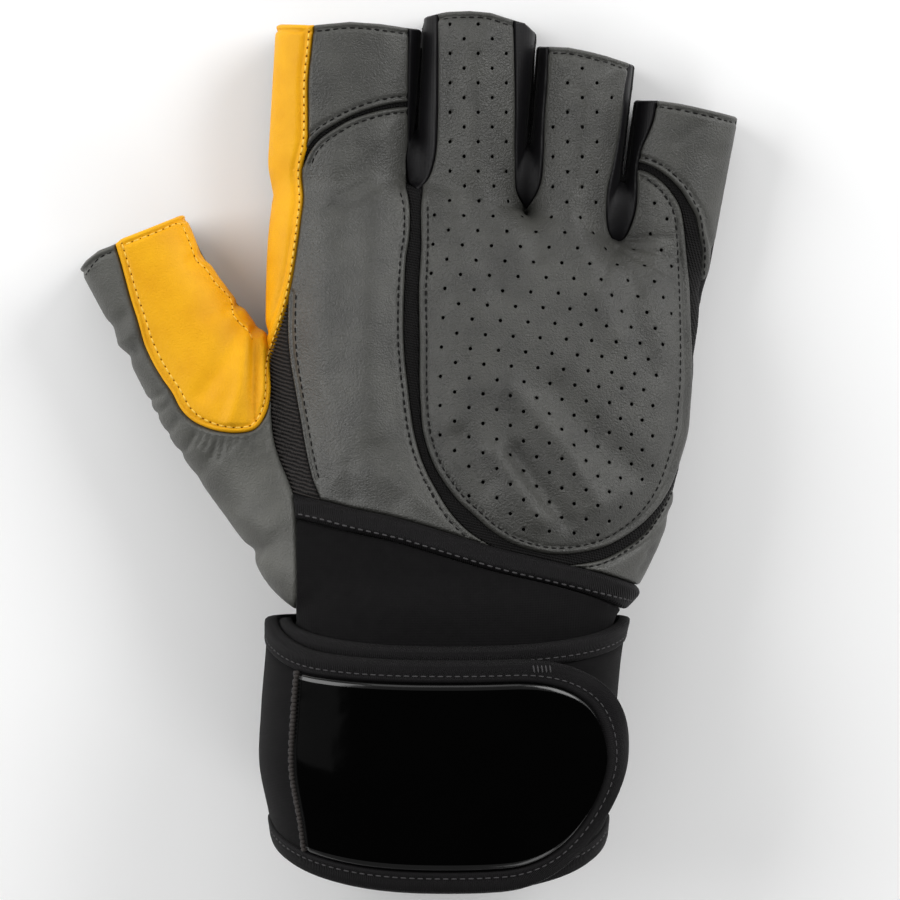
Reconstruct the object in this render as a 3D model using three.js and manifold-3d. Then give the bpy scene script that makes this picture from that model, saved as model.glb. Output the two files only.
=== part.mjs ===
// Weightlifting glove for the left hand, lying on its back with the palm up, in millimetres.
// X runs from the thumb to the little finger, Y from the wrist to the fingertips, Z up out of the palm.
// Y is 0 at the wrist line, under the upper edge of the wrist wrap.

import * as THREE from "three";
import { mergeVertices } from "three/addons/utils/BufferGeometryUtils.js";
import Module from "manifold-3d";

const wasm = await Module();
wasm.setup();

// Fingers: clear breadth and depth at the hem, and length from the line of the crotches to the hem
const index_breadth = 30;
const index_depth = 18;
const index_length = 33;
const middle_breadth = 23.5;
const middle_depth = 18.5;
const middle_length = 43.5;
const ring_breadth = 20.4;
const ring_depth = 17.5;
const ring_length = 40.5;
const little_breadth = 21;
const little_depth = 16;
const little_length = 35;
const finger_gap = 0.6;
const finger_root = -0.8;
const root_breadth = 0.55;
const root_depth = 0.4;
const knuckle_slope = 16;

// Palm and wrist, clear inside
const palm_length = 100;
const palm_depth = 34;
const wrist_breadth = 67;
const wrist_depth = 40;
const wrist_shift = 8;

// Thumb: clear breadth and depth at its hem, and how far its tip lies out from and above its root
const thumb_breadth = 23.4;
const thumb_depth = 20;
const thumb_reach = 51;
const thumb_rise = 79;

// Walls and paddings
const back_wall = 1.8;
const leather_wall = 2;
const rest_wall = 1.5;
const gusset_wall = 1.2;
const mesh_wall = 1.4;
const pad_puff = 2.6;
const thenar_puff = 1.6;
const cuff_wall = 2.5;
const seam_gap = 0.3;
const gusset_show = 4.2;
const gusset_tail = 1.5;
const gusset_bend = 0.12;
const beyond_hem = 1.4;
const pad_side = 0.1;
const strip_side = 1.2;
const seam_height = 11;
const yellow_seam_height = 10;

// Cuff: how far its edge stands above the wrist line on the thumb side and the little finger side
const cuff_rise_thumb = 33;
const cuff_rise_little = 13;
const cuff_run = 79.6;
const cuff_centre = 5;
const cuff_tape_width = 5;
const cuff_tape_wall = 3.4;

// Wrist wrap
const strap_rise = 6;
const strap_height = 50.5;
const strap_wall = 2.6;
const tape_wall = 3.1;
const tape_width = 5;
const strap_end_reach = 58;
const strap_dip = 6;
const strap_low_dip = 11;
const lap_shift = 3;
const cuff_length = 45;
const strap_clear = 0.6;
const patch_wall = 0.8;
const patch_start = -222;

// How finely the round shapes are divided
const palm_sides = 32;
const finger_sides = 18;
const thumb_sides = 22;
const fold_step = 6.5;
const plain_step = 20;
const wrist_step = 10;
const roundness = 2.4;
const past = 6;

const lap_pitch = tape_wall + seam_gap;
const strap_bed = cuff_wall + strap_clear;
const wrist_lift = strap_bed + tape_wall;

// One row for each finger, from the thumb side; base is its breadth at the crotches as a share,
// and hem is how far its hem is turned, in degrees
const fingers = [
  { breadth: index_breadth, depth: index_depth, length: index_length, base: 1, hem: 1 },
  { breadth: middle_breadth, depth: middle_depth, length: middle_length, base: 0.97, hem: -6 },
  { breadth: ring_breadth, depth: ring_depth, length: ring_length, base: 0.9, hem: -11 },
  { breadth: little_breadth, depth: little_depth, length: little_length, base: 0.92, hem: -11 },
];
const between = 2 * gusset_wall + finger_gap;
const palm_breadth = fingers.reduce((sum, finger) => sum + finger.breadth * finger.base + between, -between);
const hems_breadth = fingers.reduce((sum, finger) => sum + finger.breadth + between, -between);
const knuckle_middle = 0.015;
const hems_middle = 0.057;

// Hand sections: along is a share of the palm length, middle and breadth of the palm breadth,
// top of the palm depth, lift of the height that the wrap's layers raise the wrist, puff of the padding
const hand_sections = [
  { along: 0.07, middle: -0.066, breadth: 0.695, top: 1.18, lift: 1, tilt: 0, puff: 0 },
  { along: 0.14, middle: -0.051, breadth: 0.785, top: 1.12, lift: 0.75, tilt: 0, puff: 0.3 },
  { along: 0.29, middle: -0.028, breadth: 0.88, top: 1.08, lift: 0.35, tilt: 0, puff: 0.8 },
  { along: 0.49, middle: -0.013, breadth: 0.945, top: 1.02, lift: 0, tilt: 0, puff: 1 },
  { along: 0.69, middle: -0.005, breadth: 0.97, top: 0.92, lift: 0, tilt: 0.3, puff: 0.9 },
  { along: 0.87, middle: 0.008, breadth: 0.995, top: 0.77, lift: 0, tilt: 0.65, puff: 0.6 },
  { along: 1.0, middle: 0.015, breadth: 0.98, top: 0.6, lift: 0, tilt: 1, puff: 0.15 },
];

// Wrist sections: along is a share of the wrap's height, breadth of the wrist's, top of the wrist depth
const wrist_sections = [
  { along: 1.1, middle: 1.05, breadth: 0.89, top: 0.98 },
  { along: 0.8, middle: 1.1, breadth: 0.94, top: 1.02 },
  { along: 0.55, middle: 1.15, breadth: 1, top: 1.04 },
  { along: 0.3, middle: 1.1, breadth: 1, top: 1.03 },
];

// Thumb sections from the root to the hem: out and up are shares of its reach and rise
const thumb_sections = [
  { out: -0.16, up: -0.12, breadth: 1.0, depth: 1.3, turn: 0, lift: 2.2 },
  { out: 0.0, up: 0.0, breadth: 1.4, depth: 1.5, turn: 0, lift: 0.9 },
  { out: 0.113, up: 0.155, breadth: 1.48, depth: 1.4, turn: 5, lift: 0.4 },
  { out: 0.32, up: 0.34, breadth: 1.4, depth: 1.25, turn: 13, lift: 0 },
  { out: 0.547, up: 0.534, breadth: 1.27, depth: 1.15, turn: 20, lift: 0 },
  { out: 0.72, up: 0.7, breadth: 1.12, depth: 1.06, turn: 23, lift: 0 },
  { out: 0.883, up: 0.859, breadth: 1.0, depth: 1.02, turn: 26, lift: 0 },
  { out: 1.0, up: 1.0, breadth: 1.0, depth: 1.0, turn: 28, lift: 0 },
];
const thumb_root_across = -0.31;
const thumb_root_along = 0.13;

// Folds and dents: both ends in shares of the palm's breadth and length, width and depth in millimetres
const fold_width = 3;
const fold_depth = 1;
const folds = [
  { from: [-0.84, 0.66], to: [-0.92, 0.7], width: 0.8, depth: 0.9 },
  { from: [-0.72, 0.62], to: [-0.86, 0.52], width: 0.9, depth: 0.9 },
  { from: [-0.66, 0.5], to: [-0.79, 0.44], width: 1, depth: 1 },
  { from: [-0.56, 0.36], to: [-0.7, 0.33], width: 1.1, depth: 1 },
  { from: [-0.48, 0.26], to: [-0.58, 0.2], width: 1.1, depth: 1.2 },
  { from: [-0.56, 0.72], to: [-0.545, 0.54], width: 0.9, depth: 1.2 },
  { from: [-0.59, 0.7], to: [-0.65, 0.58], width: 1.4, depth: 0.7 },
  { from: [-0.36, 1.05], to: [-0.26, 1.02], width: 1.3, depth: 0.7 },
  { from: [0.02, 0.46], to: [0.07, 0.38], width: 1.5, depth: 1.2 },
  { from: [0.12, 0.37], to: [0.19, 0.31], width: 1.5, depth: 1.2 },
  { from: [0.34, 0.9], to: [0.46, 0.86], width: 1.2, depth: 0.9 },
];

// Seam lines, each point a share across the palm's breadth and along its length
const pad_edge = [
  { across: -0.145, along: 1.05 },
  { across: -0.152, along: 0.9 },
  { across: -0.15, along: 0.6 },
  { across: -0.135, along: 0.45 },
  { across: -0.088, along: 0.355 },
  { across: -0.02, along: 0.285 },
  { across: 0.07, along: 0.225 },
  { across: 0.17, along: 0.2 },
  { across: 0.285, along: 0.22 },
  { across: 0.365, along: 0.275 },
  { across: 0.42, along: 0.355 },
  { across: 0.45, along: 0.46 },
  { across: 0.464, along: 0.6 },
  { across: 0.466, along: 0.78 },
  { across: 0.46, along: 0.93 },
  { across: 0.44, along: 1.035 },
  { across: 0.4, along: 1.08 },
  { across: 0.365, along: 1.095 },
];
const strip_edge = [
  { across: -0.185, along: 1.07 },
  { across: -0.178, along: 0.95 },
  { across: -0.187, along: 0.7 },
  { across: -0.172, along: 0.51 },
  { across: -0.148, along: 0.425 },
  { across: -0.112, along: 0.35 },
  { across: -0.06, along: 0.27 },
  { across: 0.02, along: 0.21 },
  { across: 0.12, along: 0.17 },
  { across: 0.22, along: 0.17 },
  { across: 0.32, along: 0.205 },
  { across: 0.4, along: 0.28 },
  { across: 0.45, along: 0.385 },
  { across: 0.48, along: 0.5 },
  { across: 0.515, along: 0.6 },
  { across: 0.52, along: 0.7 },
  { across: 0.507, along: 0.8 },
  { across: 0.505, along: 0.9 },
  { across: 0.483, along: 1.02 },
  { across: 0.435, along: 1.08 },
  { across: 0.374, along: 1.115 },
];
const yellow_edge = [
  { across: -0.41, along: 1.4 },
  { across: -0.412, along: 1.3 },
  { across: -0.425, along: 1.06 },
  { across: -0.44, along: 0.9 },
  { across: -0.463, along: 0.77 },
  { across: -0.49, along: 0.68 },
  { across: -0.503, along: 0.63 },
  { across: -0.51, along: 0.545 },
  { across: -0.53, along: 0.5 },
  { across: -0.58, along: 0.482 },
  { across: -0.66, along: 0.5 },
  { across: -0.72, along: 0.56 },
  { across: -0.78, along: 0.65 },
  { across: -0.825, along: 0.76 },
  { across: -0.86, along: 0.88 },
];
const thumb_edge = [
  { across: -0.525, along: 0.75 },
  { across: -0.505, along: 0.64 },
  { across: -0.505, along: 0.55 },
  { across: -0.497, along: 0.45 },
  { across: -0.465, along: 0.38 },
  { across: -0.442, along: 0.31 },
  { across: -0.435, along: 0.2 },
  { across: -0.428, along: 0.05 },
];
const web_edge = [
  { across: -0.457, along: 0.81 },
  { across: -0.455, along: 0.7 },
  { across: -0.45, along: 0.62 },
  { across: -0.432, along: 0.51 },
  { across: -0.405, along: 0.4 },
  { across: -0.37, along: 0.3 },
];
const index_arc = [
  { across: -0.43, along: 1.12 },
  { across: -0.41, along: 1.155 },
  { across: -0.35, along: 1.2 },
  { across: -0.27, along: 1.235 },
  { across: -0.17, along: 1.245 },
];

// Corners that close the outlines away from their seams, and where the yellow patch meets the thumb's hem
const yellow_corner = { across: -0.53, along: 1.45 };
const yellow_hem_share = -0.3;
const web_corners = [
  { across: -0.5, along: 0.25 },
  { across: -0.6, along: 0.55 },
  { across: -0.5, along: 0.81 },
];
const index_corner = { across: 0, along: 1.25 };
const sides_meet = 0.15;
const little_low_share = 0.7;
const heel_high_share = 0.6;

// A point in the plane of the hand from shares of the palm's breadth and length
function handPoint({ across, along }) {
  return new THREE.Vector2(across * palm_breadth, along * palm_length);
}

// How deep the folds press the skin in at a point of the plane
function foldDepth(x, y) {
  let depth = 0;
  for (const fold of folds) {
    const start = handPoint({ across: fold.from[0], along: fold.from[1] });
    const end = handPoint({ across: fold.to[0], along: fold.to[1] });
    const line = new THREE.Line3(new THREE.Vector3(start.x, start.y, 0), new THREE.Vector3(end.x, end.y, 0));
    const spot = new THREE.Vector3(x, y, 0);
    const away = line.closestPointToPoint(spot, true, new THREE.Vector3()).distanceTo(spot);
    const width = fold.width * fold_width;
    depth = Math.max(depth, fold.depth * fold_depth * Math.exp(-((away / width) ** 2)));
  }
  return depth;
}

// A smooth value between the rows of a table, by any increasing or decreasing key
function smoothRow(rows, key, value) {
  const rising = rows[rows.length - 1][key] > rows[0][key];
  const ordered = rising ? rows : [...rows].reverse();
  let last = 1;
  while (last < ordered.length - 1 && ordered[last][key] < value) {
    last += 1;
  }
  const before = ordered[last - 1];
  const after = ordered[last];
  const share = THREE.MathUtils.clamp((value - before[key]) / (after[key] - before[key]), 0, 1);
  const earlier = ordered[Math.max(last - 2, 0)];
  const later = ordered[Math.min(last + 1, ordered.length - 1)];
  const row = {};
  for (const name of Object.keys(before)) {
    const rise = after[name] - before[name];
    const slopeIn = (after[name] - earlier[name]) / Math.max(after[key] - earlier[key], 1e-6);
    const slopeOut = (later[name] - before[name]) / Math.max(later[key] - before[key], 1e-6);
    const span = after[key] - before[key];
    const s = share;
    row[name] = before[name] + rise * s * s * (3 - 2 * s)
      + slopeIn * span * s * (1 - s) ** 2 - slopeOut * span * s * s * (1 - s);
  }
  return row;
}

// One closed ring of a tube: a rounded box section, flattened where it lies on the ground
function sectionRing(section, sides, grow, dented) {
  const points = [];
  const across = new THREE.Vector2(Math.cos(section.turn), Math.sin(section.turn));
  for (let i = 0; i < sides; i += 1) {
    points.push(sectionPoint(section, across, (2 * Math.PI * i) / sides, grow, dented));
  }
  return points;
}

function sectionPoint(section, across, angle, grow, dented) {
  const c = Math.cos(angle);
  const s = Math.sin(angle);
  const wide = Math.sign(c) * Math.abs(c) ** (2 / roundness);
  const high = Math.sign(s) * Math.abs(s) ** (2 / roundness);
  const skin = section.breadth / 2 + grow;
  const x = section.x + across.x * wide * skin;
  const y = section.y + across.y * wide * skin;
  const dent = dented && s > -0.3 ? foldDepth(x, y) : 0;
  const side = section.breadth / 2 + grow - dent;
  const middle = (section.top + section.floor) / 2;
  const z = middle + high * ((section.top - section.floor) / 2 + grow - dent);
  const ground = Math.max(section.floor - grow, 0);
  return new THREE.Vector3(
    section.x + across.x * wide * side,
    section.y + across.y * wide * side,
    Math.max(z, ground),
  );
}

// A closed body through rings of the same number of points
function loft(rings) {
  const count = rings[0].length;
  const positions = rings.flatMap((ring) => ring.flatMap((p) => [p.x, p.y, p.z]));
  const index = [];
  for (let r = 0; r + 1 < rings.length; r += 1) {
    for (let i = 0; i < count; i += 1) {
      const a = r * count + i;
      const b = r * count + ((i + 1) % count);
      index.push(a, b, b + count, a, b + count, a + count);
    }
  }
  const last = (rings.length - 1) * count;
  for (let i = 0; i + 1 < count - 1 - i; i += 1) {
    const far = count - 1 - i;
    index.push(i, far, i + 1);
    index.push(last + i, last + i + 1, last + far);
    if (i + 1 < far - 1) {
      index.push(i + 1, far, far - 1);
      index.push(last + i + 1, last + far - 1, last + far);
    }
  }
  const geometry = new THREE.BufferGeometry();
  geometry.setAttribute("position", new THREE.Float32BufferAttribute(positions, 3));
  geometry.setIndex(index);
  return facedOut(geometry);
}

// The same body with its faces pointing out
function facedOut(geometry) {
  const p = geometry.getAttribute("position");
  const index = Array.from(geometry.getIndex().array);
  const a = new THREE.Vector3();
  const b = new THREE.Vector3();
  const c = new THREE.Vector3();
  let volume = 0;
  for (let i = 0; i < index.length; i += 3) {
    a.fromBufferAttribute(p, index[i]);
    b.fromBufferAttribute(p, index[i + 1]);
    c.fromBufferAttribute(p, index[i + 2]);
    volume += a.dot(b.cross(c));
  }
  if (volume < 0) {
    geometry.setIndex(index.reverse());
  }
  return geometry;
}

function toSolid(geometry) {
  const bare = geometry.clone();
  bare.deleteAttribute("normal");
  bare.deleteAttribute("uv");
  const merged = mergeVertices(bare, 1e-4);
  const vertProperties = new Float32Array(merged.getAttribute("position").array);
  const triVerts = new Uint32Array(merged.getIndex().array);
  return new wasm.Manifold(new wasm.Mesh({ numProp: 3, vertProperties, triVerts }));
}

function toGeometry(solid) {
  const mesh = solid.getMesh();
  const geometry = new THREE.BufferGeometry();
  const flat = [];
  for (let i = 0; i < mesh.vertProperties.length; i += mesh.numProp) {
    flat.push(mesh.vertProperties[i], mesh.vertProperties[i + 1], mesh.vertProperties[i + 2]);
  }
  geometry.setAttribute("position", new THREE.Float32BufferAttribute(flat, 3));
  geometry.setIndex(Array.from(mesh.triVerts));
  geometry.computeVertexNormals();
  return geometry;
}

// The palm's and wrist's section at a height along the hand
const palm_rows = [
  ...wrist_sections.map((row) => ({
    y: -row.along * strap_height,
    x: -row.middle * wrist_shift,
    breadth: row.breadth * wrist_breadth,
    top: row.top * wrist_depth + wrist_lift,
    floor: wrist_lift,
    turn: 0,
    puff: 0,
  })),
  ...hand_sections.map((row) => ({
    y: row.along * palm_length,
    x: row.middle * palm_breadth,
    breadth: row.breadth * palm_breadth,
    top: row.top * palm_depth + row.lift * wrist_lift,
    floor: rest_wall + row.lift * (wrist_lift - rest_wall),
    turn: THREE.MathUtils.degToRad(-row.tilt * knuckle_slope),
    puff: row.puff,
  })),
];

function palmSection(y) {
  return smoothRow(palm_rows, "y", y);
}

function steps(from, to, step) {
  const count = Math.max(Math.ceil(Math.abs(to - from) / step), 1);
  return Array.from({ length: count + 1 }, (_, i) => from + ((to - from) * i) / count);
}

function palmTube(grow, puff, hollow) {
  const low = -cuff_length - (hollow ? past : 0);
  const level = hand_sections[0].along * palm_length;
  const wrist = steps(low, level, hollow ? plain_step : wrist_step).slice(0, -1);
  const heights = [...wrist, ...steps(level, palm_length, hollow ? plain_step : fold_step)];
  const rings = heights.map((y) => {
    const section = palmSection(y);
    section.y = y;
    return sectionRing(section, palm_sides, grow + puff * section.puff, !hollow);
  });
  if (!hollow) {
    const crown = palmSection(palm_length);
    crown.y = palm_length + grow;
    crown.breadth -= grow;
    rings.push(sectionRing(crown, palm_sides, grow, false));
  }
  return loft(rings);
}

// Where each finger starts at the crotches and ends at its hem
function fingerLine(number) {
  const finger = fingers[number];
  let base = knuckle_middle * palm_breadth - palm_breadth / 2;
  let tip = hems_middle * palm_breadth - hems_breadth / 2;
  for (const earlier of fingers.slice(0, number)) {
    base += earlier.breadth * earlier.base + between;
    tip += earlier.breadth + between;
  }
  base += (finger.breadth * finger.base) / 2;
  tip += finger.breadth / 2;
  const fall = Math.tan(THREE.MathUtils.degToRad(knuckle_slope));
  const start = palm_length + (knuckle_middle * palm_breadth - base) * fall;
  return { finger, from: new THREE.Vector2(base, start), to: new THREE.Vector2(tip, start + finger.length) };
}

function fingerPoint(number, along, across) {
  const { finger, from, to } = fingerLine(number);
  const middle = from.clone().lerp(to, along);
  const share = THREE.MathUtils.lerp(finger.base, 1, THREE.MathUtils.clamp(along, 0, 1));
  return new THREE.Vector2(middle.x + (across * finger.breadth * share) / 2, middle.y);
}

function fingerTube(number, grow, hollow) {
  const { finger, from, to } = fingerLine(number);
  const lean = Math.atan2(from.x - to.x, to.y - from.y);
  const reach = hollow ? 1 + past / finger.length : 1;
  const hem = THREE.MathUtils.degToRad(finger.hem);
  const shares = hollow ? [finger_root, 0, reach] : [finger_root, finger_root / 2, 0, 0.5, 1];
  const rings = shares.map((along) => {
    const middle = from.clone().lerp(to, along);
    const spread = THREE.MathUtils.lerp(finger.base, 1, THREE.MathUtils.clamp(along, 0, 1));
    const share = spread * (1 + root_breadth * Math.min(along, 0));
    const top = back_wall + finger.depth * (1 + root_depth * Math.min(along, 0));
    const turn = THREE.MathUtils.lerp(lean, hem, THREE.MathUtils.clamp(along, 0, 1));
    const breadth = finger.breadth * share;
    const section = { x: middle.x, y: middle.y, breadth, top, floor: rest_wall, turn };
    return sectionRing(section, finger_sides, grow, false);
  });
  return loft(rings);
}

const thumb_root = handPoint({ across: thumb_root_across, along: thumb_root_along });
const thumb_rows = thumb_sections.map((row) => ({
  x: thumb_root.x - row.out * thumb_reach,
  y: thumb_root.y + row.up * thumb_rise,
  breadth: row.breadth * thumb_breadth,
  top: back_wall + row.depth * thumb_depth + row.lift * wrist_lift,
  floor: rest_wall + row.lift * (wrist_lift - rest_wall),
  turn: THREE.MathUtils.degToRad(row.turn),
}));

function thumbTube(grow, hollow) {
  const first = thumb_rows[0].y;
  const last = thumb_rows[thumb_rows.length - 1].y;
  const rings = steps(first, last, hollow ? plain_step : fold_step).map((y) => {
    return sectionRing(smoothRow(thumb_rows, "y", y), thumb_sides, grow, !hollow);
  });
  if (hollow) {
    const end = smoothRow(thumb_rows, "y", last);
    end.x -= past * Math.sin(end.turn);
    end.y += past * Math.cos(end.turn);
    rings.push(sectionRing(end, thumb_sides, grow, false));
  }
  return loft(rings);
}

// The whole hand, grown outwards from the clear inside
function handForm(grow, puff, hollow) {
  let form = toSolid(palmTube(grow, puff, hollow));
  form = form.add(toSolid(thumbTube(grow, hollow)));
  for (let number = 0; number < fingers.length; number += 1) {
    form = form.add(toSolid(fingerTube(number, grow, hollow)));
  }
  return form;
}

const inside = handForm(0, 0, true);

function wall(thickness, puff = 0) {
  return handForm(thickness, puff, false).subtract(inside);
}

// An upright block with the outline of a zone, wider or narrower by the gap kept at the seams
const block_height = 150;

function grownOutline(points, grow) {
  const area = THREE.ShapeUtils.area(points);
  const sign = area > 0 ? 1 : -1;
  return points.map((point, i) => {
    const before = points[(i + points.length - 1) % points.length];
    const after = points[(i + 1) % points.length];
    const inward = point.clone().sub(before).normalize();
    const onward = after.clone().sub(point).normalize();
    const along = inward.clone().add(onward).normalize();
    const spread = grow / Math.max(Math.sqrt((1 + inward.dot(onward)) / 2), 0.5);
    return new THREE.Vector2(point.x + along.y * spread * sign, point.y - along.x * spread * sign);
  });
}

function block(points, grow = 0) {
  const shape = new THREE.Shape(grownOutline(points, grow));
  const geometry = new THREE.ExtrudeGeometry(shape, { depth: block_height, bevelEnabled: false });
  geometry.translate(0, 0, -block_height / 3);
  return toSolid(geometry);
}

function smoothLine(rows, per = 2) {
  const curve = new THREE.SplineCurve(rows.map(handPoint));
  return curve.getPoints(Math.round((rows.length - 1) * per));
}

const far = 1.2 * (palm_length + palm_breadth);

// Gusset zone between a finger and the next, open past the hems and pointed at the crotch
function gussetOutline(number) {
  const left = fingers[number].breadth / 2;
  const right = fingers[number + 1].breadth / 2;
  const leftShare = (along) => fingerPoint(number, along, (left - gusset_show) / left);
  const rightShare = (along) => fingerPoint(number + 1, along, (gusset_show - right) / right);
  const crotch = leftShare(0).add(rightShare(0)).multiplyScalar(0.5);
  const tail = new THREE.Vector2(crotch.x, crotch.y - gusset_tail);
  const shares = [gusset_bend, 0.5, beyond_hem];
  return [tail, ...shares.map(rightShare), ...shares.map(leftShare).reverse()];
}

function padOutline() {
  const edge = smoothLine(pad_edge);
  const ringSide = fingerPoint(2, 0, 1);
  const ringTop = fingerPoint(2, beyond_hem, 1);
  const middleTop = fingerPoint(1, beyond_hem, -1);
  const middleSide = fingerPoint(1, pad_side, -1);
  return [...edge, ringSide, ringTop, middleTop, middleSide];
}

function stripOutline() {
  const ringSide = fingerPoint(2, 0, strip_side);
  const ringTop = fingerPoint(2, beyond_hem, strip_side);
  const middleTop = fingerPoint(1, beyond_hem, -strip_side);
  return [...smoothLine(strip_edge), ringSide, ringTop, middleTop];
}

function yellowOutline() {
  const hem = thumb_rows[thumb_rows.length - 1];
  const left = yellow_hem_share * hem.breadth;
  const side = new THREE.Vector2(hem.x + left * Math.cos(hem.turn), hem.y + left * Math.sin(hem.turn));
  const out = new THREE.Vector2(-past * Math.sin(hem.turn), past * Math.cos(hem.turn)).multiplyScalar(2);
  const beyond = side.clone().add(out);
  return [...smoothLine(yellow_edge), side, beyond, handPoint(yellow_corner)];
}

function thumbOutline() {
  const low = handPoint(thumb_edge[thumb_edge.length - 1]);
  const high = handPoint(thumb_edge[0]);
  return [
    new THREE.Vector2(high.x, far),
    new THREE.Vector2(-far, far),
    new THREE.Vector2(-far, low.y),
    ...smoothLine(thumb_edge).reverse(),
  ];
}

function webOutline() {
  return [...smoothLine(web_edge), ...web_corners.map(handPoint)];
}

function indexOutline() {
  const edge = smoothLine(index_arc);
  const right = handPoint(index_corner);
  const topRight = new THREE.Vector2(right.x, far);
  const topLeft = new THREE.Vector2(-far, far);
  return [...edge, right, topRight, topLeft, new THREE.Vector2(-far, edge[0].y)];
}

// The slanting edge of the cuff, and everything above or below it
function cuffOutline(drop, above) {
  const slope = (cuff_rise_little - cuff_rise_thumb) / cuff_run;
  const middle = (cuff_rise_thumb + cuff_rise_little) / 2 - drop;
  const line = (x) => middle + slope * (x + cuff_centre);
  const edge = above ? far : -far;
  return [
    new THREE.Vector2(-far, line(-far)),
    new THREE.Vector2(far, line(far)),
    new THREE.Vector2(far, edge),
    new THREE.Vector2(-far, edge),
  ];
}

// The side seam climbs from the fingers to the wrist along the widest line of the hand
const seam_rows = [
  { along: -1, height: 2.45 },
  { along: 0, height: 2.45 },
  { along: 0.3, height: 2 },
  { along: 0.6, height: 1.68 },
  { along: 0.9, height: 1.41 },
  { along: 1.1, height: 1 },
  { along: 2.5, height: 1 },
];

// Everything above a line of heights
function aboveLine(rows, gap) {
  const first = rows[0].y;
  const last = rows[rows.length - 1].y;
  const shape = new THREE.Shape([
    ...rows.map(({ y, z }) => new THREE.Vector2(y, z + gap)),
    new THREE.Vector2(last, block_height),
    new THREE.Vector2(first, block_height),
  ]);
  const geometry = new THREE.ExtrudeGeometry(shape, { depth: 2 * far, bevelEnabled: false });
  geometry.translate(0, 0, -far);
  geometry.applyMatrix4(new THREE.Matrix4().set(0, 0, 1, 0, 1, 0, 0, 0, 0, 1, 0, 0, 0, 0, 0, 1));
  return toSolid(geometry);
}

const seam_line = seam_rows.map(({ along, height }) => ({ y: along * palm_length, z: height * seam_height }));
const yellow_line = [
  { y: -far, z: yellow_seam_height },
  { y: far, z: yellow_seam_height },
];
const front = aboveLine(seam_line, 0);
const front_cut = aboveLine(seam_line, -seam_gap);
const yellow_front = aboveLine(yellow_line, 0);
const yellow_front_cut = aboveLine(yellow_line, -seam_gap);
const hand_zone = block(cuffOutline(0, true), -seam_gap / 2);
const thumb_zone = block(thumbOutline());
const thumb_cut = block(thumbOutline(), seam_gap);
const yellow_zone = block(yellowOutline());
const yellow_cut = block(yellowOutline(), seam_gap);
const web_zone = block(webOutline());
const web_cut = block(webOutline(), seam_gap);
const strip_zone = block(stripOutline());
const strip_cut = block(stripOutline(), seam_gap);
const pad_zone = block(padOutline());
const pad_cut = block(padOutline(), seam_gap);
const index_zone = block(indexOutline(), -seam_gap / 2);
const index_cut = block(indexOutline(), seam_gap / 2);
const gusset_zones = [0, 1, 2].map((number) => block(gussetOutline(number)));
const gusset_cut = [0, 1, 2]
  .map((number) => block(gussetOutline(number), seam_gap))
  .reduce((all, zone) => all.add(zone));

// Everything to the thumb side or little finger side of the middle of the pad
function sideZone(sign, low, high) {
  const x = sides_meet * palm_breadth;
  return block([
    new THREE.Vector2(x, low),
    new THREE.Vector2(sign * far, low),
    new THREE.Vector2(sign * far, high),
    new THREE.Vector2(x, high),
  ]);
}

const leather = wall(leather_wall).intersect(front).intersect(hand_zone);
const thumb_side = sideZone(-1, -far, far);
const little_low = little_low_share * palm_length;
const heel_high = heel_high_share * palm_length;

function thumbShell() {
  const over = yellow_cut.intersect(yellow_front_cut);
  return wall(leather_wall).intersect(thumb_zone).subtract(over);
}

function yellowPatch() {
  return wall(leather_wall).intersect(yellow_front).intersect(yellow_zone);
}

function thumbWebbing() {
  return wall(mesh_wall).intersect(front).intersect(hand_zone).intersect(web_zone).subtract(yellow_cut)
    .subtract(thumb_cut);
}

function indexPanel() {
  return leather.intersect(index_zone).intersect(thumb_side).subtract(yellow_cut).subtract(gusset_cut)
    .subtract(strip_cut);
}

function thenarPanel() {
  return wall(leather_wall, thenar_puff).intersect(front).intersect(hand_zone).intersect(thumb_side)
    .subtract(index_cut).subtract(yellow_cut).subtract(thumb_cut).subtract(web_cut).subtract(strip_cut)
    .subtract(gusset_cut);
}

function palmPad() {
  return wall(leather_wall, pad_puff).intersect(front).intersect(hand_zone).intersect(pad_zone)
    .subtract(gusset_cut);
}

function meshStrip() {
  return wall(mesh_wall).intersect(front).intersect(hand_zone).intersect(strip_zone).subtract(pad_cut)
    .subtract(gusset_cut);
}

function littlePanel() {
  return leather.intersect(sideZone(1, little_low, far)).subtract(strip_cut).subtract(gusset_cut);
}

function heelPanel() {
  return leather.intersect(sideZone(1, -far, heel_high)).subtract(strip_cut);
}

function fourchette(number) {
  return wall(gusset_wall).intersect(front).intersect(gusset_zones[number]);
}

function handBack() {
  const side = yellow_cut.intersect(yellow_front_cut);
  return wall(back_wall).intersect(hand_zone).subtract(front_cut).subtract(thumb_cut).subtract(side);
}

function cuffTape() {
  const upper = block(cuffOutline(0, false), -seam_gap / 2);
  const lower = block(cuffOutline(cuff_tape_width, true), -seam_gap / 2);
  return wall(cuff_tape_wall).intersect(upper).intersect(lower).subtract(thumb_cut);
}

function cuffSleeve() {
  const lower = block(cuffOutline(cuff_tape_width, false), -seam_gap / 2);
  return wall(cuff_wall).intersect(lower).subtract(thumb_cut);
}

// The wrap: angles from its sewn start on the thumb side, over the front, round the back, to its round end
const strap_start = 178;
const strap_end = -352;
const second_lap = -175;
const lap_turn = -95;
const strap_step = 12;
const lap_over = -230;

function lapBed(angle) {
  const share = THREE.MathUtils.smoothstep(-angle, -lap_turn, -second_lap);
  return strap_bed + share * lap_pitch;
}

function strapTop(angle) {
  const facing = Math.max(Math.sin(THREE.MathUtils.degToRad(angle)), 0);
  const lap = THREE.MathUtils.smoothstep(-angle, -second_lap, -lap_over);
  return strap_rise - facing * strap_dip - lap * lap_shift;
}

function strapBottom(angle) {
  const facing = Math.max(Math.sin(THREE.MathUtils.degToRad(angle)), 0);
  return strap_rise - strap_height - facing * strap_low_dip;
}

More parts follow.
